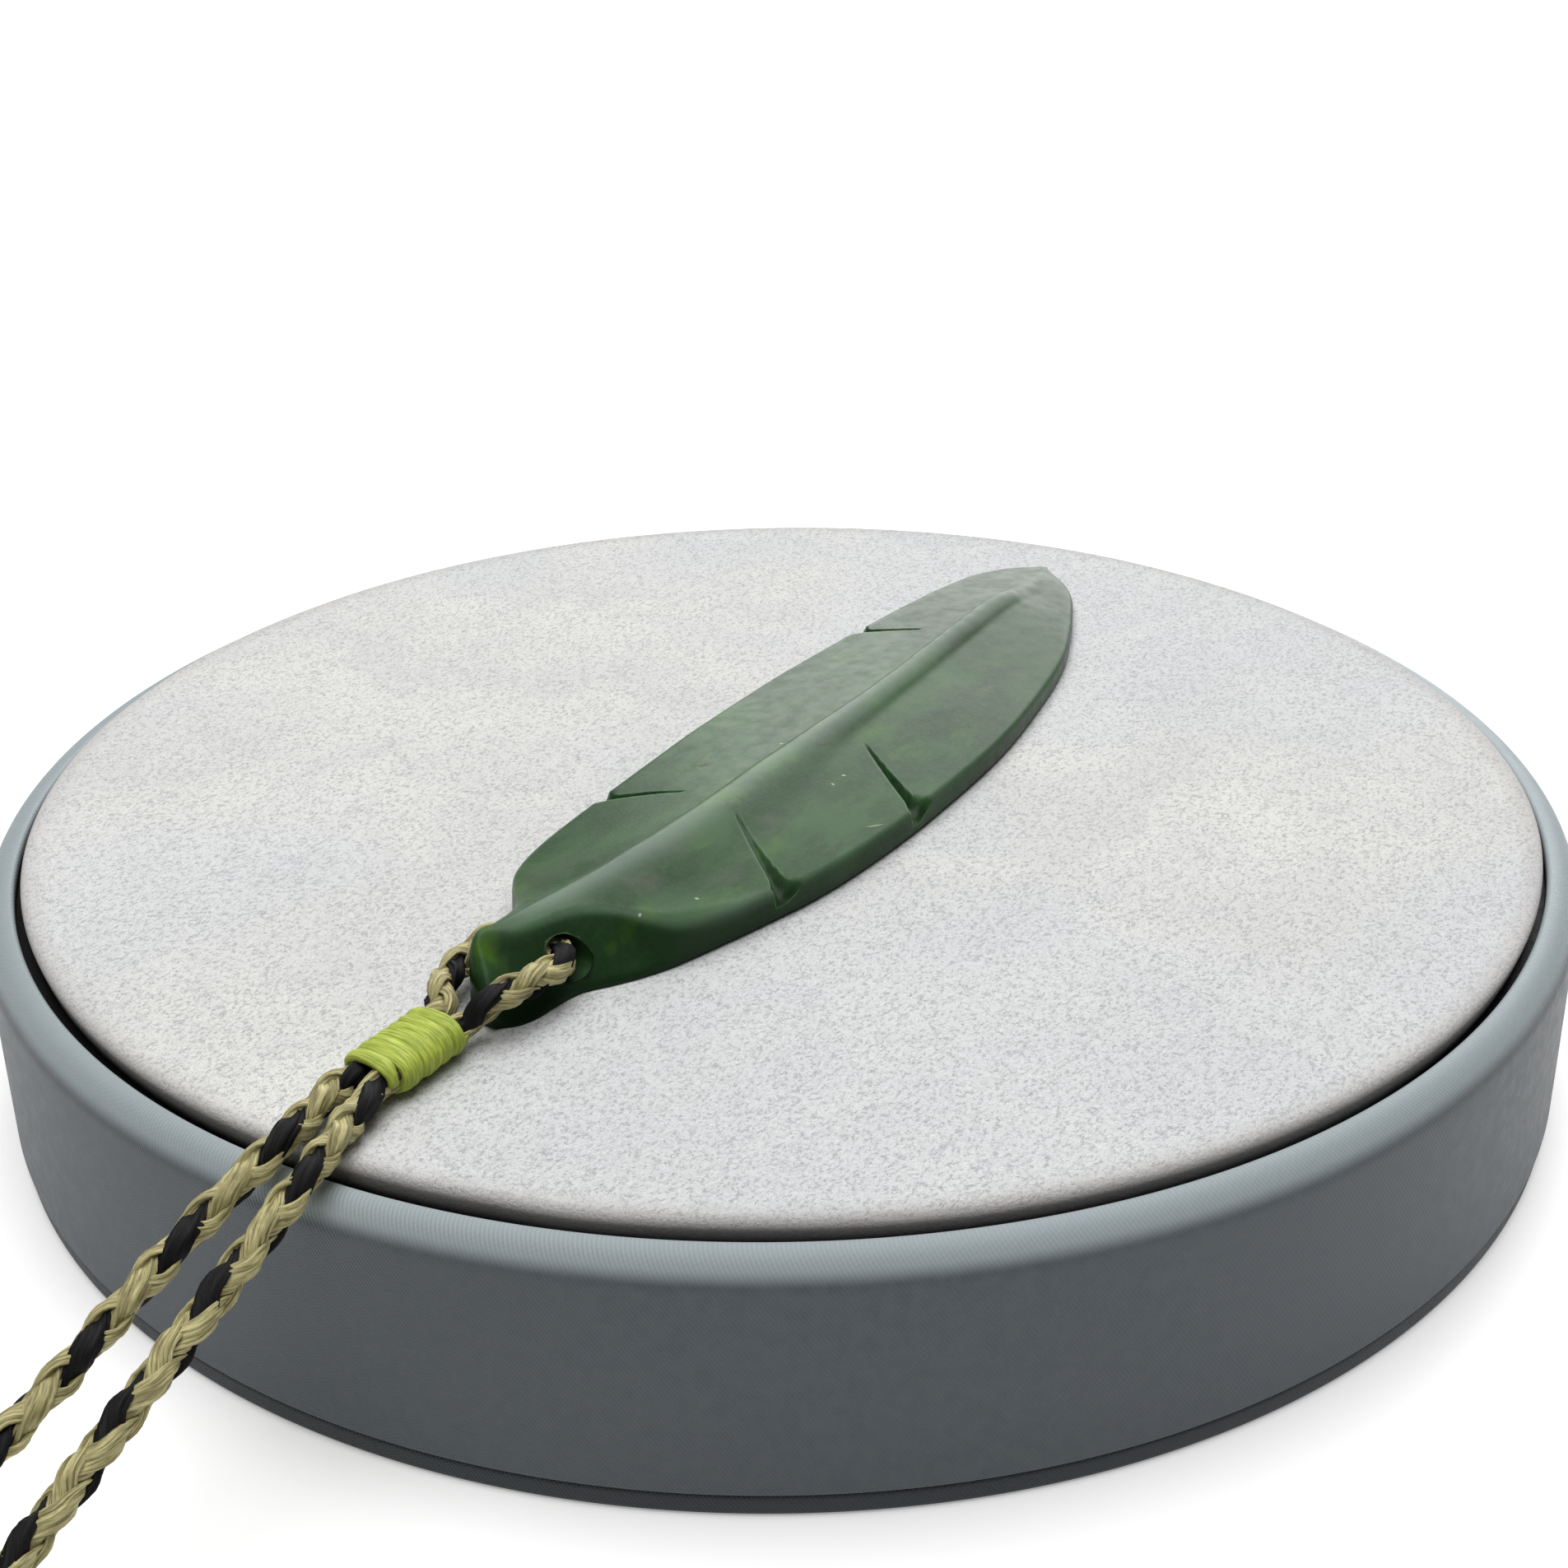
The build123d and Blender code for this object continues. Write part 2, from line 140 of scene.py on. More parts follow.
# Feather sections from the stem's end to the tip.
# along is a share of the length; far, crest, near and near_foot are shares of the width
# to the right of the stem's middle; far_z, crest_z, rise and near_z are shares of the thickness.
FEATHER_ROWS = np.array([
    # along,  far,  far_z, crest, crest_z, rise, near, near_z, near_foot
    (0.000, 0.010, 0.26, 0.030, 0.31, 0.03, 0.049, 0.26, 0.061),
    (0.010, -0.069, 0.56, -0.035, 0.60, 0.04, 0.000, 0.55, 0.104),
    (0.025, -0.107, 0.86, -0.084, 0.92, 0.05, -0.059, 0.85, 0.126),
    (0.045, -0.108, 0.88, -0.054, 0.98, 0.09, 0.005, 0.91, 0.137),
    (0.070, -0.118, 0.85, -0.032, 1.00, 0.10, 0.044, 0.92, 0.158),
    (0.091, -0.158, 0.76, -0.018, 1.00, 0.13, 0.074, 0.91, 0.215),
    (0.111, -0.237, 0.66, -0.008, 1.00, 0.16, 0.128, 0.84, 0.266),
    (0.128, -0.296, 0.60, 0.000, 1.00, 0.18, 0.222, 0.72, 0.298),
    (0.147, -0.347, 0.57, 0.008, 1.00, 0.19, 0.301, 0.59, 0.323),
    (0.176, -0.389, 0.54, 0.014, 1.00, 0.19, 0.345, 0.51, 0.355),
    (0.215, -0.420, 0.52, 0.020, 0.99, 0.19, 0.390, 0.45, 0.396),
    (0.273, -0.444, 0.51, 0.022, 0.97, 0.19, 0.446, 0.41, 0.452),
    (0.352, -0.471, 0.50, 0.010, 0.94, 0.18, 0.483, 0.39, 0.488),
    (0.459, -0.495, 0.50, 0.000, 0.90, 0.17, 0.491, 0.38, 0.496),
    (0.586, -0.503, 0.48, -0.018, 0.84, 0.16, 0.464, 0.35, 0.467),
    (0.693, -0.495, 0.45, -0.057, 0.78, 0.15, 0.393, 0.32, 0.396),
    (0.791, -0.480, 0.41, -0.094, 0.71, 0.14, 0.296, 0.30, 0.300),
    (0.859, -0.466, 0.37, -0.120, 0.62, 0.11, 0.187, 0.28, 0.191),
    (0.893, -0.452, 0.34, -0.133, 0.49, 0.05, 0.124, 0.27, 0.128),
    (0.928, -0.436, 0.30, -0.148, 0.40, 0.01, 0.055, 0.25, 0.059),
    (0.957, -0.402, 0.26, -0.170, 0.33, 0.01, -0.022, 0.23, -0.018),
    (0.979, -0.358, 0.23, -0.190, 0.26, 0.01, -0.104, 0.21, -0.100),
    (0.992, -0.312, 0.21, -0.205, 0.23, 0.01, -0.170, 0.20, -0.166),
    (1.000, -0.268, 0.20, -0.213, 0.21, 0.01, -0.214, 0.19, -0.210),
])

# Notches between the barbs: side is +1 at the near vane and -1 at the far one, edge and inner
# are places along the length, reach is how far in from the edge to the ridge, mouth is in metres,
# and bow is how far the notch's middle bends towards the tip, in metres.
NOTCHES = [
    # side, edge, inner, reach, mouth, bow
    (1, 0.242, 0.290, 0.79, 0.0021, -0.00018),
    (1, 0.422, 0.476, 0.69, 0.0018, -0.00016),
    (-1, 0.285, 0.322, 0.59, 0.0013, 0.00030),
    (-1, 0.718, 0.746, 0.60, 0.0011, 0.00012),
]

# How far back the barbs run between the ridge and the edge, where no notch says so: place along
# the ridge and slant, both as shares of the length.
NEAR_SLANT_ENDS = [(0.0, 0.0), (0.10, 0.0), (0.85, 0.06), (1.0, 0.0)]
FAR_SLANT_ENDS = [(0.0, 0.0), (0.12, 0.0), (1.0, 0.0)]

# The hole through the stem, wider at its polished mouths.
HOLE_ROUTE = [
    # x, y, z, radius
    (0.0085, -0.0343, 0.0220, 0.00175),
    (0.0056, -0.0343, 0.0219, 0.00155),
    (0.0048, -0.0342, 0.0219, 0.00146),
    (0.0030, -0.0340, 0.0219, 0.00138),
    (0.0014, -0.0341, 0.0218, 0.00143),
    (0.0006, -0.0343, 0.0218, 0.00160),
    (-0.0030, -0.0346, 0.0219, 0.00230),
]

# Marks in the stone: middle, half length and half width in millimetres, the long way's angle from
# east, tint and strength. The yellow-green marks are partly lighter stone and partly painted light
# shining through thin stone.
STONE_MARKS = [
    # east, north, long, short, angle, tint, strength
    (3.7, -13.9, 3.6, 1.7, 84, "yellow_and_glow", 0.75),
    (3.6, -6.5, 4.2, 1.3, 86, "yellow_and_glow", 0.55),
    (3.0, 1.4, 4.0, 0.8, 95, "yellow_and_glow", 0.4),
    (1.15, -37.1, 1.5, 1.0, 90, "yellow_and_glow", 0.5),
    (2.3, -38.3, 1.3, 1.1, 80, "yellow_and_glow", 0.95),
    (7.5, -30.0, 0.9, 0.5, 60, "yellow_and_glow", 0.6),
    (7.0, -31.4, 0.7, 0.4, 60, "yellow_and_glow", 0.5),
    (6.2, 4.0, 2.6, 1.2, 75, "yellow_and_glow", 0.35),
    (9.6, -15.5, 2.0, 0.9, 80, "yellow_and_glow", 0.35),
    (4.9, -1.4, 1.1, 0.3, 62, "brown", 0.8),
    (3.83, -14.21, 0.35, 0.22, 40, "brown", 0.8),
    (4.5, -13.6, 0.25, 0.15, 10, "brown", 0.7),
    (7.57, -12.94, 1.1, 0.7, 60, "cloud", 0.7),
    (6.27, -25.99, 2.0, 1.0, 70, "cloud", 0.7),
    (9.2, -20.5, 1.6, 0.8, 75, "cloud", 0.45),
    (-1.6, -27.0, 6.0, 2.6, 80, "cloud", 0.5),
    (4.9, -22.0, 3.0, 1.2, 75, "cloud", 0.4),
    (7.8, 16.0, 5.0, 2.2, 70, "cloud", 0.3),
    (-2.24, -6.95, 0.9, 0.3, 35, "dark", 0.8),
    (-2.95, 11.35, 1.2, 0.4, 40, "purple", 0.7),
    (-1.2, 14.4, 1.2, 0.35, 50, "purple", 0.5),
    (8.1, 11.2, 1.3, 0.4, 60, "purple", 0.55),
    (1.22, -1.48, 0.16, 0.1, 30, "pale", 0.8),
    (8.0, -3.42, 0.18, 0.1, 60, "pale", 0.8),
    (8.11, -5.14, 0.14, 0.09, 10, "pale", 0.8),
    (9.14, -24.42, 0.16, 0.1, 40, "pale", 0.7),
    (7.74, -29.07, 0.16, 0.1, 90, "pale", 0.8),
    (12.99, -7.26, 0.75, 0.045, 62, "pale", 0.75),
    (14.39, -7.41, 0.22, 0.06, 20, "pale", 0.7),
]

# Cord route behind the front binding: sideways, beyond the stand's rim, and lift from 1 where
# it lies on the suede to 0 on the floor.
NEAR_ROUTE = [
    (0.0055, -0.003, 1.00),
    (0.0067, 0.006, 0.885),
    (0.0077, 0.022, 0.605),
    (0.0106, 0.050, 0.135),
    (0.0230, 0.087, 0.0),
    (0.0510, 0.129, 0.0),
    (0.0690, 0.180, 0.0),
    (0.0660, 0.229, 0.0),
    (0.0410, 0.266, 0.0),
]
FAR_ROUTE = [
    (0.0026, -0.003, 1.00),
    (0.0021, 0.006, 0.885),
    (0.0022, 0.022, 0.605),
    (-0.0018, 0.050, 0.135),
    (-0.0180, 0.086, 0.0),
    (-0.0490, 0.127, 0.0),
    (-0.0660, 0.177, 0.0),
    (-0.0640, 0.227, 0.0),
    (-0.0380, 0.265, 0.0),
]
REAR_HALF_RUN = 0.014
REAR_END = 0.0005

# The eye from the binding along the stem's near side, through its hole and back along the far side.
EYE_ROUTE = [
    (0.0051, -0.0414, 0.0224),
    (0.0058, -0.0388, 0.0224),
    (0.0061, -0.0366, 0.0223),
    (0.0060, -0.0350, 0.0221),
    (0.0046, -0.0339, 0.0220),
    (0.0020, -0.0338, 0.0219),
    (-0.0004, -0.0342, 0.0219),
    (-0.0008, -0.0360, 0.0216),
    (-0.0005, -0.0392, 0.0214),
    (0.0008, -0.0414, 0.0213),
]

# Where the black strand comes to the front of the plait, in metres along the cord, and which way
# the front faces there, in degrees round the cord from upright.
PLAIT_MARKS = [
    # place, face
    (0.3053, -20), (0.3132, -20), (0.3215, -10), (0.3303, 24), (0.3363, 60),
    (0.3488, 30), (0.3560, 0), (0.3613, -40), (0.3677, -68), (0.3738, -60),
    (0.3798, -48), (0.3865, -20), (0.3953, -35), (0.4032, -41), (0.4108, -66),
]


def new_object(name, data):
    """Puts a mesh, curve, light or camera in the scene."""
    item = bpy.data.objects.new(name, data)
    bpy.context.scene.collection.objects.link(item)
    return item


def closed_mesh(name, points, faces):
    """A smooth-shaded mesh whose faces all look outwards."""
    mesh = bpy.data.meshes.new(name)
    mesh.from_pydata([tuple(point) for point in points], [], faces)
    mesh.validate()
    shell = bmesh.new()
    shell.from_mesh(mesh)
    bmesh.ops.recalc_face_normals(shell, faces=shell.faces)
    shell.to_mesh(mesh)
    shell.free()
    mesh.shade_smooth()
    return mesh


def mesh_object(name, points, faces, material, sharp_above=None):
    """A piece of the object from points and faces."""
    mesh = closed_mesh(name, points, faces)
    if sharp_above is not None:
        mesh.set_sharp_from_angle(angle=math.radians(sharp_above))
    mesh.materials.append(material)
    piece = new_object(name, mesh)
    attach(piece, BODY)
    return piece


def ring_faces(rings, sides):
    """Quads between rings of points that are listed ring by ring."""
    faces = []
    for start in range(0, (rings - 1) * sides, sides):
        for side in range(sides):
            beside = (side + 1) % sides
            faces.append((start + side, start + beside, start + sides + beside, start + sides + side))
    return faces


def tube_faces(rings, sides):
    """Quads between rings of points, and a flat cap at each end."""
    last = (rings - 1) * sides
    return ring_faces(rings, sides) + [tuple(range(sides))[::-1], tuple(range(last, last + sides))]


def between(first, second, share):
    return first + (second - first) * share


def smooth_step(value, low, high):
    """0 below low, 1 above high, and an even curve between."""
    share = np.clip((value - low) / (high - low), 0.0, 1.0)
    return share * share * (3 - 2 * share)


def bell(value, spread):
    """1 where the value is 0, and less away from there on both sides."""
    return np.exp(-((value / spread) ** 2))


class Look:
    """One material. Its nodes take a number, a colour or another node's output for each input."""

    def __init__(self, name):
        self.material = bpy.data.materials.new(name)
        self.material.use_nodes = True
        self.tree = self.material.node_tree
        self.shader = self.tree.nodes["Principled BSDF"]

    def put(self, socket, value):
        if isinstance(value, bpy.types.NodeSocket):
            self.tree.links.new(value, socket)
        elif socket.type == "RGBA":
            socket.default_value = (*value, 1.0)
        else:
            socket.default_value = value

    def add(self, kind, inputs, output=0, **settings):
        node = self.tree.nodes.new("ShaderNode" + kind)
        for name, value in settings.items():
            setattr(node, name, value)
        for socket, value in inputs.items():
            self.put(node.inputs[socket], value)
        return node.outputs[output]

    def surface(self, **values):
        """Sets the shader's own inputs; an underscore stands for a space."""
        for name, value in values.items():
            self.put(self.shader.inputs[name.replace("_", " ")], value)

    def millimetres(self):
        """Where a point lies on the object, in millimetres."""
        place = self.add("TexCoord", {}, "Object")
        return self.add("VectorMath", {0: place, "Scale": 1 / MM}, operation="SCALE")

    def stretched(self, place, scale):
        return self.add("VectorMath", {0: place, 1: scale}, operation="MULTIPLY")

    def distance(self, place, scale):
        """How far a place is from the middle, once it is stretched."""
        return self.add("VectorMath", {0: self.stretched(place, scale)}, 1, operation="LENGTH")

    def noise(self, place, scale, detail=3.0, roughness=0.5, distortion=0.0):
        values = {"Vector": place, "Scale": scale, "Detail": detail, "Roughness": roughness,
                  "Distortion": distortion}
        return self.add("TexNoise", values)

    def ramp(self, value, low, high, to_low=0.0, to_high=1.0):
        """Turns a range of a value into another range, eased at both ends."""
        values = {"Value": value, "From Min": low, "From Max": high, "To Min": to_low, "To Max": to_high}
        return self.add("MapRange", values, interpolation_type="SMOOTHSTEP")

    def maths(self, operation, first, second, third=0.0):
        return self.add("Math", {0: first, 1: second, 2: third}, operation=operation)

    def times(self, first, second):
        return self.maths("MULTIPLY", first, second)

    def blend(self, share, first, second):
        return self.add("Mix", {0: share, 6: first, 7: second}, 2, data_type="RGBA")

    def layered(self, colour, *layers):
        """Lays tints over a colour, each by a value, its range, the tint's shares there and the tint."""
        for value, low, high, at_low, at_high, tint in layers:
            colour = self.blend(self.ramp(value, low, high, at_low, at_high), colour, tint)
        return colour

    def split(self, place, axis):
        return self.add("SeparateXYZ", {0: place}, axis)

    def bump(self, height, depth):
        """A bump whose height 1 stands for a depth in metres."""
        return self.add("Bump", {"Height": height, "Distance": depth, "Strength": 1.0})


# Materials
STONE_TINTS = {
    # Lighter yellow-green stone, partly painted light shining through thin stone.
    "yellow_and_glow": (0.075, 0.160, 0.018),
    "brown": (0.030, 0.032, 0.014),
    "cloud": (0.070, 0.086, 0.062),
    "dark": (0.010, 0.016, 0.012),
    "purple": (0.022, 0.027, 0.027),
    "pale": (0.46, 0.49, 0.43),
}


def marked_stone(look, place, colour):
    """Lays the marks over the stone's colour, each an uneven oval seen from above; the yellow-green ones
    are partly lighter stone, partly painted light shining through it.
    """
    wander = look.add("TexNoise", {"Vector": place, "Scale": 0.9, "Detail": 3.0}, 1)
    wander = look.add("VectorMath", {0: wander, 1: (0.5, 0.5, 0.5)}, operation="SUBTRACT")
    for east, north, long, short, angle, tint, strength in STONE_MARKS:
        centre = (east, north, 0.0)
        turn = {"Vector": place, "Center": centre, "Angle": -math.radians(angle)}
        turned = look.add("VectorRotate", turn, rotation_type="Z_AXIS")
        reach = (2.4 * short, 2.4 * short, 0.0)
        wandered = look.add("VectorMath", {0: wander, 1: reach, 2: turned}, operation="MULTIPLY_ADD")
        offset = look.add("VectorMath", {0: wandered, 1: centre}, operation="SUBTRACT")
        away = look.distance(offset, (1 / long, 1 / short, 0.0))
        full = 0.5 if tint == "pale" else 0.0
        share = look.ramp(away, full, 1.2, strength, 0.0)
        colour = look.blend(share, colour, STONE_TINTS[tint])
    return colour


def jade_look():
    """Polished nephrite: mottled deep green with lighter veins, cloudy below a glossy skin, with painted
    shade low down, on steep walls and in the notches, and painted highlights on the crest and edges.
    """
    look = Look("jade")
    place = look.millimetres()
    along = look.stretched(place, (1.0, 0.45, 1.0))
    clouds = look.noise(along, 0.20, 5.0, 0.6, 0.2)
    patches = look.noise(along, 0.42, 5.0, 0.65, 0.3)
    grain = look.noise(place, 2.6, 4.0, 0.7)
    colour = look.blend(look.ramp(clouds, 0.35, 0.65), (0.021, 0.054, 0.020), (0.043, 0.098, 0.038))
    colour = look.layered(
        colour,
        (patches, 0.56, 0.74, 0.0, 0.6, (0.064, 0.132, 0.026)),
        (patches, 0.44, 0.28, 0.0, 0.5, (0.014, 0.034, 0.017)),
        (grain, 0.35, 0.7, 0.0, 0.3, (0.056, 0.108, 0.050)),
    )
    colour = marked_stone(look, place, colour)
    north = look.split(place, 1)
    height = look.split(place, 2)
    suede = STAND_HEIGHT / MM
    # Painted shade: darker towards the underside, where the stone meets the suede.
    colour = look.blend(look.ramp(height, suede, suede + 1.0, 0.85, 0.0), colour, (0.004, 0.012, 0.005))
    # Painted shade, near black, low on the stem's end under the cord.
    stem_foot_shade = look.ramp(height, suede + 0.8, suede + 3.6, 0.9, 0.0)
    stem_end_shade = look.ramp(north, -37.0, -32.5, 1.0, 0.0)
    colour = look.blend(look.times(stem_foot_shade, stem_end_shade), colour, (0.002, 0.006, 0.002))
    # Painted shade: steep walls darker than the top faces, more so towards the stem.
    upward = look.split(look.add("NewGeometry", {}, "Normal"), 2)
    stemward_wall_shade = look.ramp(north, -26.0, -14.0, 0.85, 0.30)
    steep = look.times(look.ramp(upward, 0.2, 0.85, 1.0, 0.0), stemward_wall_shade)
    colour = look.blend(steep, colour, (0.008, 0.030, 0.007))
    # Painted light from the feather's shape: painted highlight along the crest, the edges and the notches'
    # lips, and below 0 painted shade down in the notches.
    painted_light = look.add("Attribute", {}, "Fac", attribute_name="painted_light")
    colour = look.layered(
        colour,
        (north, 8.0, 44.0, 0.0, 0.75, (0.015, 0.042, 0.014)),
        # Painted shade down in the notches.
        (painted_light, 0.0, -1.0, 0.0, 0.75, (0.004, 0.018, 0.004)),
    )
    # Painted highlight, pale grey-green, along the crest, the edges and the notches' lips.
    colour = look.blend(look.maths("MAXIMUM", painted_light, 0.0), colour, (0.190, 0.250, 0.200))
    polish = look.ramp(look.noise(place, 0.8, 4.0, 0.6), 0.3, 0.75, 0.28, 0.40)
    wear = look.noise(place, 5.0, 3.0, 0.6)
    look.surface(
        Base_Color=colour,
        Roughness=polish,
        Normal=look.bump(wear, 0.000012),
        IOR=1.5,
        Specular_IOR_Level=0.125,
        Subsurface_Weight=0.30,
        Subsurface_Radius=(0.35, 1.0, 0.25),
        Subsurface_Scale=0.0014,
    )
    return look.material


def thread_look(name, dark, light, roughness, sheen):
    """Waxed thread: fibres along each ply, lighter where the wax is rubbed."""
    look = Look(name)
    lay = look.add("UVMap", {}, "UV", uv_map="lay")
    fibres = look.noise(look.stretched(lay, (0.5, 22.0, 1.0)), 1.0, 4.0, 0.65)
    place = look.millimetres()
    blotches = look.noise(place, 0.7, 3.0, 0.6)
    share = look.times(look.ramp(fibres, 0.28, 0.72), look.ramp(blotches, 0.2, 0.7, 0.55, 1.0))
    colour = look.blend(share, dark, light)
    look.surface(
        Base_Color=colour,
        Roughness=look.ramp(fibres, 0.3, 0.7, roughness + 0.15, roughness),
        Normal=look.bump(fibres, 0.00009),
        Specular_IOR_Level=0.25,
        Sheen_Weight=sheen,
        Sheen_Roughness=0.4,
    )
    return look.material


def slanted_ribs(look, place, around, up):
    """Waves round the stand, by their turn for each radian round it and each millimetre up."""
    angle = look.maths("ARCTAN2", look.split(place, 1), look.split(place, 0))
    slant = look.times(look.split(place, 2), up)
    return look.maths("SINE", look.maths("MULTIPLY_ADD", angle, around, slant), 0.0)


def leatherette_look():
    """Slate covering paper embossed with fine slanted ribs, with a painted highlight on its rim and painted
    shade in its seam and down in the groove.
    """
    look = Look("grey_leatherette")
    place = look.millimetres()
    height = look.split(place, 2)
    ribs = slanted_ribs(look, place, 1330.0, 15.0)
    threads = slanted_ribs(look, place, -640.0, 26.0)
    weave = look.maths("MULTIPLY_ADD", threads, 0.35, ribs)
    mottle = look.noise(place, 0.9, 4.0, 0.6)
    broad = look.noise(place, 0.05, 2.0, 0.5)
    colour = look.blend(look.ramp(mottle, 0.3, 0.7), (0.068, 0.083, 0.094), (0.086, 0.101, 0.112))
    colour = look.layered(
        colour,
        (broad, 0.3, 0.7, 0.0, 0.35, (0.092, 0.098, 0.110)),
        (ribs, -1.0, 1.0, 0.0, 0.07, (0.160, 0.182, 0.188)),
    )
    # Painted highlight along the rim, where light from above falls on it, a little lighter on the ribs.
    rim = look.ramp(height, RIM_TOP / MM - 1.75, RIM_TOP / MM - 0.7)
    painted_light = look.times(rim, look.ramp(ribs, -1.0, 1.0, 0.73, 0.81))
    colour = look.blend(painted_light, colour, (0.360, 0.410, 0.425))
    # Painted shade along the seam between the wall and the bottom plate.
    seam = PLATE_THICKNESS / MM
    colour = look.layered(colour, (height, seam - 0.1, seam + 0.1, 0.6, 0.0, (0.012, 0.013, 0.016)))
    # Painted shade, near black, on the rim's inner wall down in the groove round the suede.
    inner = (BASE_RADIUS - RIM_WIDTH) / MM
    inside = look.ramp(look.distance(place, (1.0, 1.0, 0.0)), inner + 0.02, inner + 0.25, 1.0, 0.0)
    deep = look.ramp(height, RIM_TOP / MM - 1.0, RIM_TOP / MM - 0.4, 1.0, 0.0)
    colour = look.blend(look.times(inside, deep), colour, (0.004, 0.004, 0.004))
    look.surface(
        Base_Color=colour,
        Roughness=look.ramp(mottle, 0.3, 0.7, 0.42, 0.52),
        Normal=look.bump(weave, 0.000010),
        Specular_IOR_Level=0.2,
    )
    return look.material


def suede_look():
    """Light grey suede: a short brushed nap with cool and warm clouds, browner round its edge, partly its
    own colour and partly painted shade.
    """
    look = Look("grey_suede")
    place = look.millimetres()
    brushed = look.stretched(place, (1.0, 0.62, 1.0))
    nap = look.noise(brushed, 4.2, 3.0, 0.7, 0.3)
    fuzz = look.noise(place, 9.0, 2.0, 0.6)
    clouds = look.noise(place, 0.055, 4.0, 0.6, 0.8)
    tint = look.noise(place, 0.03, 2.0, 0.5)
    height = look.split(place, 2)
    colour = look.blend(look.ramp(clouds, 0.35, 0.65), (0.640, 0.643, 0.628), (0.720, 0.713, 0.682))
    away = look.distance(place, (1.0, 1.0, 0.0))
    top = STAND_HEIGHT / MM
    rim = RIM_TOP / MM
    colour = look.layered(
        colour,
        (tint, 0.42, 0.62, 0.0, 0.5, (0.605, 0.625, 0.660)),
        (nap, 0.54, 0.32, 0.0, 0.85, (0.340, 0.345, 0.355)),
        (fuzz, 0.48, 0.28, 0.0, 0.5, (0.420, 0.420, 0.430)),
        (fuzz, 0.55, 0.75, 0.0, 0.5, (0.90, 0.90, 0.88)),
        # Browner towards and round the edge: partly the suede's own colour, partly painted shade on its
        # rounded edge.
        (height, top - PAD_ROUND / MM, top - 0.05, 0.8, 0.0, (0.330, 0.300, 0.285)),
        (away, PAD_RADIUS / MM - 2.2, PAD_RADIUS / MM, 0.0, 0.45, (0.420, 0.385, 0.370)),
        # Painted shade, near black, down in the groove below the rim.
        (height, rim - 1.2, rim - 0.4, 1.0, 0.0, (0.006, 0.005, 0.005)),
    )
    relief = look.maths("MULTIPLY_ADD", fuzz, 0.5, nap)
    look.surface(
        Base_Color=colour,
        Roughness=0.95,
        Normal=look.bump(relief, 0.00016),
        Specular_IOR_Level=0.15,
        Sheen_Weight=0.25,
        Sheen_Roughness=0.5,
    )
    return look.material


def floor_look():
    """Plain white table top."""
    look = Look("white_table")
    place = look.millimetres()
    tone = look.noise(place, 0.02, 3.0, 0.5)
    colour = look.blend(look.ramp(tone, 0.3, 0.7), (0.90, 0.90, 0.90), (0.92, 0.92, 0.92))
    look.surface(
        Base_Color=colour,
        Roughness=0.7,
        Specular_IOR_Level=0.2,
        Emission_Color=(1.0, 0.995, 0.985),
        Emission_Strength=0.33,
    )
    return look.material


# Camera, light and floor
def add_camera():
    turn = math.radians(CAMERA_TURN)
    dip = math.radians(CAMERA_DIP)
    roll = math.radians(CAMERA_ROLL)
    forward = Vector((-math.sin(turn) * math.cos(dip), math.cos(turn) * math.cos(dip), -math.sin(dip)))
    level = Vector((math.cos(turn), math.sin(turn), 0.0))
    upright = level.cross(forward)
    right = level * math.cos(roll) + upright * math.sin(roll)
    up = upright * math.cos(roll) - level * math.sin(roll)
    data = bpy.data.cameras.new("camera")
    data.lens = CAMERA_LENS
    data.sensor_width = SENSOR_WIDTH
    data.clip_start = 0.005
    camera = new_object("camera", data)
    turned = Matrix((right, up, -forward)).transposed().to_4x4()
    camera.matrix_world = Matrix.Translation(CAMERA_PLACE) @ turned
    bpy.context.scene.camera = camera


def add_softbox(name, place, aim, size, power):
    data = bpy.data.lights.new(name, "AREA")
    data.shape = "RECTANGLE"
    data.size, data.size_y = size
    data.energy = power
    lamp = new_object(name, data)
    lamp.location = place
    lamp.rotation_euler = (Vector(aim) - Vector(place)).to_track_quat("-Z", "Y").to_euler()


def add_light():
    scene = bpy.context.scene
    scene.view_settings.view_transform = "Standard"
    world = bpy.data.worlds.new("studio")
    scene.world = world
    world.use_nodes = True
    sky = world.node_tree.nodes["Background"]
    sky.inputs["Color"].default_value = (0.98, 0.99, 1.0, 1)
    sky.inputs["Strength"].default_value = 0.09
    add_softbox("back_softbox", (-0.24, 0.70, 0.42), (0, 0, 0.05), (0.68, 0.84), 5.6)
    add_softbox("overhead_softbox", (-0.02, -0.02, 0.68), (0, 0, 0.02), (0.70, 0.60), 5.6)


def add_floor():
    far = FLOOR_HALF_WIDTH
    mesh = bpy.data.meshes.new("table_top")
    mesh.from_pydata([(-far, -far, 0), (far, -far, 0), (far, far, 0), (-far, far, 0)], [], [(0, 1, 2, 3)])
    mesh.materials.append(floor_look())
    floor = new_object("table_top", mesh)


# Display stand
SUEDE_BULGE = 0.00018
SUEDE_WAVE = 0.00008
SUEDE_BULGE_FROM = math.radians(-75)
SUEDE_BULGE_TO = math.radians(20)
WALL_STEPS = 10
BASE_FOOT_WIDTH = 0.004
PLATE_FOOT_WIDTH = 0.003


def arc(centre, across, start, end, steps, down=None):
    """Points of a round or oval arc in (radius, height), with angles in degrees."""
    angles = [math.radians(start + (end - start) * i / steps) for i in range(steps + 1)]
    return [(centre[0] + across * math.cos(a), centre[1] + (down or across) * math.sin(a)) for a in angles]


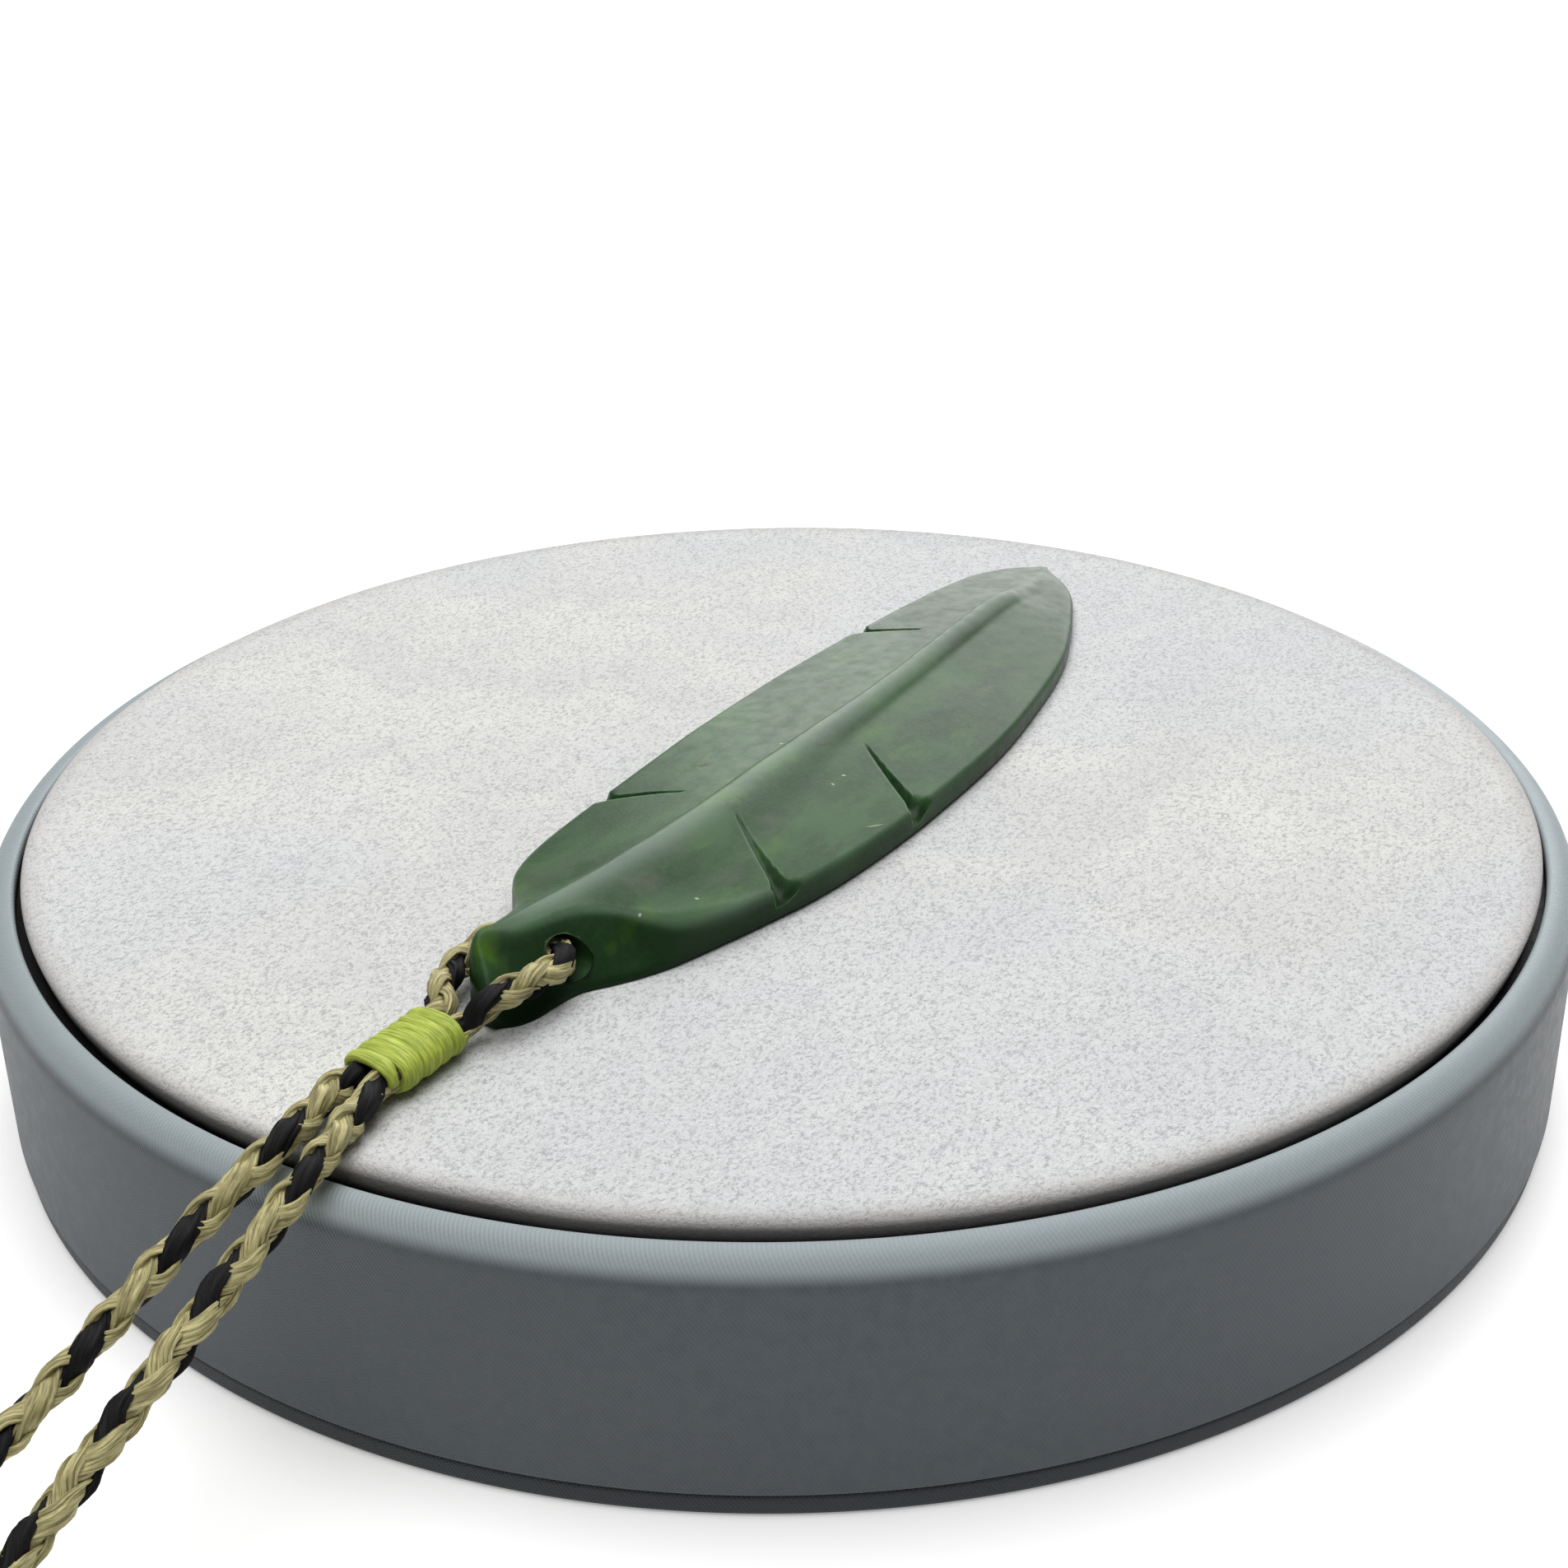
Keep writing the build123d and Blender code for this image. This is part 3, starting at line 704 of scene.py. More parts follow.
def revolved(name, profile, material, stray=None):
    """A profile of (radius, height) turned round the stand's middle and closed at both its ends."""
    count = STAND_SEGMENTS
    points = []
    for radius, height in profile:
        for i in range(count):
            angle = math.tau * i / count
            reach = radius + (stray(angle, height) if stray else 0.0)
            points.append((reach * math.cos(angle), reach * math.sin(angle), height))
    faces = ring_faces(len(profile), count)
    for ring in (0, len(profile) - 1):
        middle = len(points)
        points.append((0.0, 0.0, profile[ring][1]))
        faces += [(ring * count + i, ring * count + (i + 1) % count, middle) for i in range(count)]
    return mesh_object(name, points, faces, material, sharp_above=50)


def base_profile():
    """The covered block's section: bottom, wall, rim and the recess that holds the suede disc."""
    foot = BASE_RADIUS - SEAM_CHAMFER
    wall_low = PLATE_THICKNESS + SEAM_CHAMFER
    wall_high = RIM_TOP - RIM_OUTER_DOWN
    rim_middle = BASE_RADIUS - RIM_OUTER_ACROSS
    profile = [(foot - BASE_FOOT_WIDTH, PLATE_THICKNESS), (foot, PLATE_THICKNESS)]
    profile += arc((foot, wall_low), SEAM_CHAMFER, -80, 0, 5)
    profile += [(BASE_RADIUS, between(wall_low, wall_high, i / WALL_STEPS)) for i in range(1, WALL_STEPS)]
    profile += arc((rim_middle, wall_high), RIM_OUTER_ACROSS, 0, 90, 14, RIM_OUTER_DOWN)
    profile += arc((rim_middle, RIM_TOP - RIM_INNER_ROUND), RIM_INNER_ROUND, 90, 180, 6)[1:]
    return profile + [(BASE_RADIUS - RIM_WIDTH, STAND_HEIGHT - PAD_THICKNESS)]


def plate_profile():
    """The bottom plate's section, rounded at both edges."""
    radius = BASE_RADIUS - PLATE_INSET
    profile = [(radius - PLATE_FOOT_WIDTH, 0.0)]
    profile += arc((radius - PLATE_EDGE, PLATE_EDGE), PLATE_EDGE, -90, 0, 6)
    profile += arc((radius - PLATE_EDGE, PLATE_THICKNESS - PLATE_EDGE), PLATE_EDGE, 0, 90, 6)
    return profile + [(radius - PLATE_FOOT_WIDTH, PLATE_THICKNESS)]


def pad_profile():
    """The suede disc's section, drawn in a little below its rounded edge."""
    bottom = STAND_HEIGHT - PAD_THICKNESS
    profile = [
        (PAD_RADIUS - PAD_BOTTOM_INSET, bottom),
        (PAD_RADIUS - PAD_UNDERCUT, bottom + PAD_BOTTOM_ROUND),
        (PAD_RADIUS - PAD_UNDERCUT * PAD_WAIST_SHARE, RIM_TOP - PAD_WAIST_DOWN),
    ]
    profile += arc((PAD_RADIUS - PAD_ROUND, STAND_HEIGHT - PAD_ROUND), PAD_ROUND, 0, 90, 14)
    return profile + [(PAD_RADIUS - PAD_ROUND - PAD_FACE_RING, STAND_HEIGHT)]


def add_stand():
    leatherette = leatherette_look()
    base = revolved("leatherette_base", base_profile(), leatherette)
    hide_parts("stand_base")
    plate = revolved("covered_plate", plate_profile(), leatherette)
    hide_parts("bottom_plate")
    pad = revolved("suede_top", pad_profile(), suede_look(), suede_stray)
    for vertex in pad.data.vertices:
        vertex.co += Vector((*PAD_SHIFT, 0.0))
    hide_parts("suede_pad")


def suede_stray(angle, height):
    """The suede's edge isn't quite round: it bulges towards the right, with small waves."""
    around = (angle + math.pi) % (math.tau) - math.pi
    spot = Vector((math.cos(angle) * 3.0, math.sin(angle) * 3.0, height / MM * 0.4))
    wave = noise.noise(spot) * SUEDE_WAVE
    bulge = smooth_step(around, SUEDE_BULGE_FROM, SUEDE_BULGE_FROM + 0.1)
    bulge *= 1 - smooth_step(around, SUEDE_BULGE_TO, SUEDE_BULGE_TO + 0.8)
    return wave + SUEDE_BULGE * float(bulge)


# Feather
FAR, FAR_Z, CREST, CREST_Z, RISE, NEAR, NEAR_Z, NEAR_FOOT = range(8)
COARSE_STEP = 0.0036
FINE_STEP = 0.0006
FINE_REACH = 0.017
VANE_STEPS = 58
CORNER_STEPS = 6
EDGE_STEPS = 8
NOTCH_OVERRUN = 0.0013
NOTCH_TIP_WIDTH = 0.00045
NOTCH_TIP_DEPTH = 0.00018
NOTCH_WEB = 0.00018
NOTCH_STEEP_WALL = 0.00016
NOTCH_FLOOR_SHARE = 0.1
NOTCH_SLOPE_CURVE = 1.7
NOTCH_FORE_FLARE = 0.0012
NOTCH_BACK_SHARE = 0.40
NOTCH_BACK_FLARE = 0.0005
NOTCH_CHIPS = 0.25
NOTCH_CORNER = 0.0017
# Painted highlight along the notches' lips, and the depth over which painted shade deepens in them.
NOTCH_LIP = 0.00014
NOTCH_LIP_HIGHLIGHT = 0.30
NOTCH_FORE_LIP_SHARE = 0.6
NOTCH_SHADE_DEPTH = 0.0009
UNDULATION = 0.00004
# Bands of painted highlight along the crest, the edges and the near shoulder.
CREST_BAND_FAR = 0.0003
EDGE_BAND = 0.00040
EDGE_HIGHLIGHT = 0.22
SHOULDER_HIGHLIGHT = 0.22
SHOULDER_HIGHLIGHT_PLACE = SHOULDER_PLACE + 0.03
SHOULDER_HIGHLIGHT_SPREAD = 0.06
SHOULDER_HIGHLIGHT_WIDENING = 0.8
CAP_ROUND = 0.00035
CAP_STEPS = 5
HOLE_SIDES = 48
HOLE_SLICES = 5


def feather_columns(shares):
    """The table's columns in metres at many shares of the length, smooth from row to row."""
    rows = FEATHER_ROWS
    shares = np.clip(shares, 0.0, 1.0)
    last = len(rows) - 2
    index = np.clip(np.searchsorted(rows[:, 0], shares, side="right") - 1, 0, last)
    before = rows[np.maximum(index - 1, 0)]
    start = rows[index]
    end = rows[index + 1]
    after = rows[np.minimum(index + 2, last + 1)]
    span = (end[..., 0] - start[..., 0])[..., None]
    t = ((shares - start[..., 0])[..., None]) / span
    slope_start = (end - before) / (end - before)[..., :1] * span
    slope_end = (after - start) / (after - start)[..., :1] * span
    values = start * (2 * t**3 - 3 * t**2 + 1) + slope_start * (t**3 - 2 * t**2 + t)
    values = values + end * (3 * t**2 - 2 * t**3) + slope_end * (t**3 - t**2)
    sizes = np.array([FEATHER_WIDTH, FEATHER_THICKNESS, FEATHER_WIDTH, FEATHER_THICKNESS,
                      FEATHER_THICKNESS, FEATHER_WIDTH, FEATHER_THICKNESS, FEATHER_WIDTH])
    return np.moveaxis(values[..., 1:] * sizes, -1, 0)


def smooth_max(first, second, blend):
    overlap = np.maximum(blend - np.abs(first - second), 0.0)
    return np.maximum(first, second) + overlap**2 / (4 * blend)


def vane_edge(columns, side):
    """Where one vane's edge lies, across and up, and how far it is from the crest."""
    edge = columns[NEAR] if side > 0 else columns[FAR]
    edge_z = columns[NEAR_Z] if side > 0 else columns[FAR_Z]
    return edge, edge_z, np.abs(edge - columns[CREST])


def top_height(columns, share, side, out):
    """Height of the carved top, out being 0 at the crest and 1 at the vane's edge."""
    _, edge_z, width = vane_edge(columns, side)
    ridge = RIDGE_HALF_WIDTH * between(1, RIDGE_TIP_SHARE, share)
    rise = columns[RISE]
    fullness = RIDGE_FULLNESS
    if side > 0:
        tipward = smooth_step(share, 0.25, 0.60)
        ridge = ridge * between(*RIDGE_NEAR, tipward)
        rise = rise * between(*NEAR_RISE, tipward)
        fullness = between(*NEAR_FULLNESS, tipward)
    apex = columns[CREST_Z] - rise
    half = np.minimum(ridge, RIDGE_ROOM * width)
    vane = between(apex, edge_z, out)
    foot = between(apex, edge_z, half / width)
    dome = columns[CREST_Z] - (columns[CREST_Z] - foot) * (out * width / half) ** fullness
    blend = between(*RIDGE_BLEND, smooth_step(share, 0.1, 0.6))
    lift = smooth_max(apex, columns[CREST_Z], blend) - columns[CREST_Z]
    return smooth_max(vane, dome, blend) - lift * (1 - out)


def station_shares():
    """Places along the ridge, crowded round the notches and the two ends."""
    centres = [edge + (inner - edge) / reach for _, edge, inner, reach, _, _ in NOTCHES]
    shares = [0.0]
    while shares[-1] < 1.0:
        here = shares[-1]
        near_notch = min(abs(here - centre) for centre in centres) < FINE_REACH
        near_end = min(here, 1.0 - here) < 0.03
        step = FINE_STEP if near_notch else COARSE_STEP / 3 if near_end else COARSE_STEP
        shares.append(here + step)
    shares[-1] = 1.0
    return np.array(shares)


def barb_slants(side):
    """Places along the ridge and how far back the barbs there reach the edge, with the notches' own."""
    knots = list(NEAR_SLANT_ENDS if side > 0 else FAR_SLANT_ENDS)
    for notch_side, edge, inner, reach, _, _ in NOTCHES:
        if notch_side == side:
            slant = (inner - edge) / reach
            knots.append((edge + slant, slant))
    return np.array(sorted(knots))


def carve(side, stations, out, height, edge_height):
    """Lowers one side's points into its notches.

    Gives their heights, the painted highlight each gets at a notch's lip, and how deep in a notch it lies,
    which sets the painted shade there.
    """
    carved = height.copy()
    lips = np.zeros_like(height)
    for notch_side, edge, inner, reach, mouth, bow in NOTCHES:
        if notch_side != side:
            continue
        centre = edge + (inner - edge) / reach
        rows = feather_columns(np.array([edge, inner]))
        outer = vane_edge(rows, side)[0][0]
        run_across = abs(rows[CREST][1] - outer) * reach
        run = math.hypot(run_across, (inner - edge) * FEATHER_LENGTH)
        inward = np.clip((1.0 - out) / reach, 0.0, 1.0)
        away = (stations - centre) * FEATHER_LENGTH * run_across / run - bow * 4 * inward * (1 - inward)
        tip_height = top_height(rows[:, 1], inner, side, 1.0 - reach)
        overrun = NOTCH_OVERRUN / run
        taper = (inward + overrun) / (1 + overrun)
        floor = NOTCH_WEB + (tip_height - NOTCH_TIP_DEPTH - NOTCH_WEB) * taper**0.8
        half = between(mouth, NOTCH_TIP_WIDTH, taper) / 2
        corner = np.clip(1 - inward * run / NOTCH_CORNER, 0.0, 1.0) ** 2
        chips = np.array([noise.noise(Vector((float(i) * 16, centre * 90, 0.0))) for i in inward.ravel()])
        half_fore = half * (1 + NOTCH_CHIPS * chips.reshape(inward.shape)) + NOTCH_FORE_FLARE * corner
        half_back = half * NOTCH_BACK_SHARE + NOTCH_BACK_FLARE * corner
        steep = np.minimum(NOTCH_STEEP_WALL, half * 0.5)
        behind = smooth_step(away, -half_back, -half_back + steep)
        floor_end = half * NOTCH_FLOOR_SHARE
        slope = np.clip((away - floor_end) / (half_fore - floor_end), 0.0, 1.0)
        ahead = 1 - slope**NOTCH_SLOPE_CURVE
        depth = behind * ahead * smooth_step(1.0 - out, reach, reach * 0.9)
        uncut = np.maximum(height, edge_height)
        carved = np.minimum(carved, between(uncut, np.minimum(floor, uncut), depth))
        lip = bell(away + half_back, NOTCH_LIP) + bell(away - half_fore, NOTCH_LIP) * NOTCH_FORE_LIP_SHARE
        on_top = smooth_step(height, edge_height - EDGE_EASE, edge_height)
        lips = np.maximum(lips, lip * on_top * smooth_step(inward, 1.0, 0.8))
    return carved, lips * NOTCH_LIP_HIGHLIGHT, np.clip((height - carved) / NOTCH_SHADE_DEPTH, 0.0, 1.0)


def edge_eases(side, share, columns, edge_z, width):
    """How far the edge's rounding reaches across the top and down the wall."""
    down = np.minimum(EDGE_EASE, EASE_OF_HEIGHT * columns[NEAR_Z])
    down = np.minimum(down, EASE_OF_WIDTH * (columns[NEAR_FOOT] - columns[FAR]))
    over = down * (1 + TIP_BEVEL * smooth_step(share, 0.60, 0.85))
    if side > 0:
        shoulder = SHOULDER_EASE * bell(share - SHOULDER_PLACE, SHOULDER_SPREAD)
        down = np.minimum(down + shoulder, SHOULDER_OF_HEIGHT * edge_z)
        over = over + shoulder
    return np.minimum(over, EASE_ROOM * width), down


def rounded(start, corner, end, share):
    """A place on a curve that leaves start towards the corner and comes from there to end."""
    return (1 - share) ** 2 * start + 2 * share * (1 - share) * corner + share**2 * end


def feather_side(side, stations):
    """Points of one side from beside the crest over the edge to the underside, station by station.

    Gives how far across each is, its share of the length, its height and its painted highlight, below 0 for
    painted shade in a notch.
    """
    slants = barb_slants(side)
    slope = np.interp(stations, slants[:, 0], slants[:, 1])
    steps = np.linspace(0.0, 1.0, VANE_STEPS + 1)[1:]
    spread = steps + VANE_CROWDING * np.sin(math.tau * steps) / math.tau
    corner = np.linspace(0.0, 1.0, CORNER_STEPS + 1)[1:]
    count = len(spread) + 2 * CORNER_STEPS + EDGE_STEPS + 1
    out = np.concatenate([spread, np.ones(count - len(spread))])
    along = stations[:, None] - slope[:, None] * out[None, :]
    share = np.clip(along, 0.0, 1.0)
    columns = feather_columns(share)
    edge, edge_z, width = vane_edge(columns, side)
    foot = columns[NEAR_FOOT] if side > 0 else columns[FAR] - WALL_LEAN
    over, down = edge_eases(side, share, columns, edge_z, width)
    wall_top = edge_z - down
    reach = np.minimum(out, 1.0) * (1 - over / width)
    across = columns[CREST] + side * width * reach
    height = top_height(columns, share, side, reach)
    first = len(spread)
    rim_top = top_height(columns, share, side, 1 - over / width)
    for i, t in enumerate(corner):
        c = first + i
        wall_x = between(foot, edge, wall_top / edge_z)
        across[:, c] = rounded(edge - side * over, edge, wall_x, t)[:, c]
        height[:, c] = rounded(rim_top, edge_z, wall_top, t)[:, c]
    low = np.minimum(NEAR_UNDERSIDE_EASE if side > 0 else FAR_UNDERSIDE_EASE, edge_z * UNDERSIDE_SHARE)
    for i in range(EDGE_STEPS):
        c = first + CORNER_STEPS + i
        share_down = (i + 1) / EDGE_STEPS
        height[:, c] = between(wall_top, low, share_down)[:, c]
        across[:, c] = between(foot, edge, height / edge_z)[:, c]
    for i, t in enumerate(corner):
        c = first + CORNER_STEPS + EDGE_STEPS + i
        wall_x = between(foot, edge, low / edge_z)
        inset = np.minimum(low, width * UNDERSIDE_INSET_SHARE)
        across[:, c] = rounded(wall_x, foot, foot - side * inset, t)[:, c]
        height[:, c] = rounded(low, 0.0, 0.0, t)[:, c]
    across[:, -1] = foot[:, -1] - side * np.minimum(UNDERSIDE_RING, width[:, -1] * UNDERSIDE_RING_SHARE)
    height[:, -1] = 0.0
    from_crest = np.abs(across - columns[CREST])
    height, lips, cut = carve(side, stations[:, None], np.minimum(from_crest / width, 1.0), height, edge_z)
    from_edge = np.abs(edge - across) + np.maximum(edge_z - height, 0.0)
    painted_light = np.maximum(lips, highlight_share(side, share, from_crest, from_edge))
    return across, share, height, painted_light - cut


def highlight_share(side, share, from_crest, from_edge):
    """How much painted highlight the stone gets along its crest and its edges."""
    tipward = smooth_step(share, 0.35, 0.75)
    crest_band = between(*CREST_BAND, tipward) if side > 0 else CREST_BAND_FAR
    crest = bell(from_crest, crest_band) * between(*CREST_HIGHLIGHT, tipward)
    shoulder = bell(share - SHOULDER_HIGHLIGHT_PLACE, SHOULDER_HIGHLIGHT_SPREAD) if side > 0 else 0.0
    edge_band = EDGE_BAND * (1 + SHOULDER_HIGHLIGHT_WIDENING * shoulder)
    edge = bell(from_edge, edge_band) * (EDGE_HIGHLIGHT + SHOULDER_HIGHLIGHT * shoulder)
    return np.maximum(crest, edge) * smooth_step(share, 0.015, 0.09)


def feather_points():
    """Rings of points round the feather, a ring a station, and each point's painted highlight, below 0 for
    painted shade in a notch.
    """
    stations = station_shares()
    near_across, near_share, near_height, near_painted_light = feather_side(1, stations)
    far_across, far_share, far_height, far_painted_light = feather_side(-1, stations)
    middle = feather_columns(stations)
    crest_height = top_height(middle, stations, 1, np.zeros_like(stations))
    across = np.hstack([far_across[:, ::-1], middle[CREST][:, None], near_across])
    share = np.hstack([far_share[:, ::-1], stations[:, None], near_share])
    height = np.hstack([far_height[:, ::-1], crest_height[:, None], near_height])
    painted_light = np.hstack([far_painted_light[:, ::-1], near_painted_light[:, :1], near_painted_light])
    along = STEM_END + share * FEATHER_LENGTH
    rings = np.stack([STEM_MIDDLE + across, along, STAND_HEIGHT + height], axis=-1)
    lift = np.clip(height / FEATHER_THICKNESS, 0.0, 1.0)
    for ring, ring_lift in zip(rings, lift):
        for point, share_up in zip(ring, ring_lift):
            spot = Vector(point) / MM
            point[2] -= (0.5 + 0.5 * noise.noise(spot * 0.16)) * UNDULATION * share_up
            point[0] += noise.noise(spot * 0.21 + Vector((9.0, 2.0, 5.0))) * UNDULATION
    return rings, painted_light


def cap_rings(ring, direction):
    """Smaller and smaller rings that round off one end."""
    middle = ring.mean(axis=0)
    half_size = (ring.max(axis=0) - ring.min(axis=0))[[0, 2]].min() / 2
    rings = []
    for i in range(1, CAP_STEPS + 1):
        angle = math.pi / 2 * i / CAP_STEPS
        shrink = 1 - CAP_ROUND * (1 - math.cos(angle)) / half_size
        smaller = middle + (ring - middle) * shrink
        smaller[:, 1] += direction * CAP_ROUND * math.sin(angle)
        smaller[:, 2] = np.maximum(smaller[:, 2], STAND_HEIGHT)
        rings.append(smaller)
    return rings


def add_feather():
    rings, painted_light = feather_points()
    rings = [*cap_rings(rings[0], -1)[::-1], *rings, *cap_rings(rings[-1], 1)]
    faces = tube_faces(len(rings), len(rings[0]))
    feather = mesh_object("carved_feather", np.concatenate(rings), faces, jade_look(), 48)
    # Each point's painted highlight, below 0 its painted shade in a notch, stored on the mesh.
    painted_light = np.concatenate([painted_light[:1]] * CAP_STEPS + [painted_light] + [painted_light[-1:]] * CAP_STEPS).ravel()
    feather.data.attributes.new("painted_light", "FLOAT", "POINT").data.foreach_set("value", painted_light.astype(np.float32))
    cutter = stem_hole_cutter()
    drill = feather.modifiers.new("stem hole", "BOOLEAN")
    drill.object = cutter
    drill.operation = "DIFFERENCE"
    drill.solver = "EXACT"
    bpy.context.view_layer.update()
    drilled = bpy.data.meshes.new_from_object(feather.evaluated_get(bpy.context.evaluated_depsgraph_get()))
    feather.modifiers.clear()
    feather.data = drilled
    bpy.data.objects.remove(cutter)
    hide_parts("feather")


def stem_hole_cutter():
    """A round rod through the stem, left out of the finished scene."""
    route = np.array(HOLE_ROUTE)
    places = np.linspace(0.0, len(route) - 1, (len(route) - 1) * HOLE_SLICES + 1)
    route = np.stack([np.interp(places, range(len(route)), route[:, i]) for i in range(4)], axis=1)
    _, upright, level = side_vectors(route[:, :3])
    points = []
    for row, up, out in zip(route, upright, level):
        for a, b in circle(row[3], HOLE_SIDES):
            points.append(row[:3] + up * b + out * a)
    ends = [tuple(range(HOLE_SIDES)), tuple(range(len(points) - 1, len(points) - 1 - HOLE_SIDES, -1))]
    mesh = bpy.data.meshes.new("cutter")
    mesh.from_pydata([tuple(point) for point in points], [], ring_faces(len(route), HOLE_SIDES) + ends)
    mesh.shade_smooth()
    cutter = new_object("cutter", mesh)
    cutter.hide_render = True
    return cutter


# Lines and threads
def circle(radius, sides):
    angles = [math.tau * i / sides for i in range(sides)]
    return [(radius * math.cos(angle), radius * math.sin(angle)) for angle in angles]


def side_vectors(line):
    """Directions along a line, and two across it: one as upright as can be and one level."""
    line = np.asarray(line)
    ahead = np.gradient(line, axis=0)
    ahead /= np.linalg.norm(ahead, axis=1)[:, None]
    upright = np.array([0.0, 0.0, 1.0]) - ahead * ahead[:, 2:3]
    upright /= np.linalg.norm(upright, axis=1)[:, None]
    level = np.cross(ahead, upright)
    return ahead, upright, level


def route_point(sideways, beyond, lift):
    return (sideways, -BASE_RADIUS - beyond, CORD_REST + lift * STAND_HEIGHT)


def binding_points(side):
    """Where one side of the cord passes through the front binding, from the eye backwards."""
    return [
        (BINDING_X + side * OPEN_ACROSS, BINDING_FRONT + SQUEEZE_LENGTH, BINDING_Z),
        (BINDING_X + side * SQUEEZED_ACROSS, BINDING_FRONT, BINDING_Z),
        (BINDING_X + side * SQUEEZED_ACROSS, BINDING_BACK, BINDING_Z),
        (BINDING_X + side * OPEN_ACROSS, BINDING_BACK - SQUEEZE_LENGTH, BINDING_Z),
    ]


def cord_line():
    """Closely spaced points along the whole cord, from its near rear end to its far one."""
    near = [route_point(*row) for row in NEAR_ROUTE]
    far = [route_point(*row) for row in FAR_ROUTE]
    controls = [(REAR_END, REAR_Y, REAR_REST), (REAR_HALF_RUN, REAR_Y, REAR_REST)]
    controls += near[::-1] + binding_points(1)[::-1] + EYE_ROUTE + binding_points(-1) + far
    controls += [(-REAR_HALF_RUN, REAR_Y, REAR_REST), (-REAR_END, REAR_Y, REAR_REST)]
    curve = bpy.data.curves.new("cord line", "CURVE")
    curve.dimensions = "3D"
    curve.resolution_u = 48
    spline = curve.splines.new("NURBS")
    spline.points.add(len(controls) - 1)
    for point, place in zip(spline.points, controls):
        point.co = (*place, 1.0)
    spline.order_u = 3
    spline.use_endpoint_u = True
    guide = new_object("cord line", curve)
    bpy.context.view_layer.update()
    mesh = bpy.data.meshes.new_from_object(guide)
    line = np.array([vertex.co for vertex in mesh.vertices])
    bpy.data.objects.remove(guide)
    bpy.data.meshes.remove(mesh)
    return line


def evenly(line, step):
    """The same line with points a step apart, and each point's distance along it."""
    lengths = np.concatenate([[0.0], np.cumsum(np.linalg.norm(np.diff(line, axis=0), axis=1))])
    places = np.linspace(0.0, lengths[-1], int(lengths[-1] / step) + 1)
    return np.stack([np.interp(places, lengths, line[:, i]) for i in range(3)], axis=1), places


STRAND_STEP = 0.0004
STRAND_SIDES = 20
STRAND_HALF_WIDTH = 0.00074
BLACK_HALF_WIDTH = 0.00080
STRAND_HALF_DEPTH = 0.00040
STRAND_YARNS = 5
YARN_GROOVE = 0.30
YARN_PITCH = 0.009
YARN_UNEVENNESS = 0.12
PLAIT_PERIOD = 0.0080
PLAIT_RADIUS = 0.00053
PLAIT_SWING = 0.00022
PLAIT_DWELL = 0.35
SQUEEZED_SHARE = 0.86
STRAND_SQUEEZE_RUN = 0.0015


def plait_turns(places):
    """How far round the plait has gone at each place, a full turn at each of the marks, and its face."""
    marks = np.array(PLAIT_MARKS)
    before = np.arange(marks[0, 0], 0.0, -PLAIT_PERIOD)[:0:-1]
    after = np.arange(marks[-1, 0], places[-1] + PLAIT_PERIOD, PLAIT_PERIOD)[1:]
    stops = np.concatenate([before, marks[:, 0], after])
    first = before[0] / PLAIT_PERIOD
    turns = np.interp(places, stops, np.arange(len(stops)) + first)
    low = places < stops[0]
    turns[low] = places[low] / PLAIT_PERIOD
    return math.tau * (turns - first), np.radians(np.interp(places, marks[:, 0], marks[:, 1]))


def add_lay(piece, lay):
    """Stores each point's place along and round its thread."""
    layer = piece.data.uv_layers.new(name="lay")
    corners = np.empty(len(piece.data.loops), dtype=np.int32)
    piece.data.loops.foreach_get("vertex_index", corners)
    layer.data.foreach_set("uv", np.asarray(lay, dtype=np.float32)[corners].ravel())


def strand_piece(name, line, places, way, start, half_width, material):
    """One strand of the plait: way is -1 for the pair that crosses the front, +1 for the other."""
    _, upright, level = side_vectors(line)
    turns, face = plait_turns(places)
    phase = turns + start
    theta = face + way * phase + PLAIT_DWELL * np.sin(2 * phase)
    squeeze = smooth_step(line[:, 1], BINDING_BACK - STRAND_SQUEEZE_RUN, BINDING_BACK)
    squeeze = squeeze * (1 - smooth_step(line[:, 1], BINDING_FRONT, BINDING_FRONT + STRAND_SQUEEZE_RUN))
    scale = 1 - (1 - SQUEEZED_SHARE) * squeeze
    radius = (PLAIT_RADIUS - way * PLAIT_SWING * np.cos(2 * phase)) * scale
    outward = upright * np.cos(theta)[:, None] + level * np.sin(theta)[:, None]
    centre = line + outward * radius[:, None]
    run = np.gradient(centre, axis=0)
    run /= np.linalg.norm(run, axis=1)[:, None]
    outward = outward - run * (outward * run).sum(axis=1)[:, None]
    outward /= np.linalg.norm(outward, axis=1)[:, None]
    across = np.cross(run, outward)
    points = []
    lay = []
    for i in range(len(centre)):
        twist = math.tau * places[i] / YARN_PITCH + start
        for k in range(STRAND_SIDES):
            angle = math.tau * k / STRAND_SIDES - math.pi / 2
            yarn = 1 - YARN_GROOVE * (0.5 + 0.5 * math.cos(STRAND_YARNS * angle + twist))
            yarn += YARN_UNEVENNESS * noise.noise(Vector((places[i] * 1100, k * 0.8, start)))
            wide = half_width * math.cos(angle) * scale[i] * yarn
            deep = STRAND_HALF_DEPTH * math.sin(angle) * scale[i] * yarn
            points.append(centre[i] + across[i] * wide + outward[i] * deep)
            lay.append((places[i] / MM, k / STRAND_SIDES + start))
    faces = tube_faces(len(centre), STRAND_SIDES)
    strand = mesh_object(name, points, faces, material)
    add_lay(strand, lay)
    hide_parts("braided_cord")


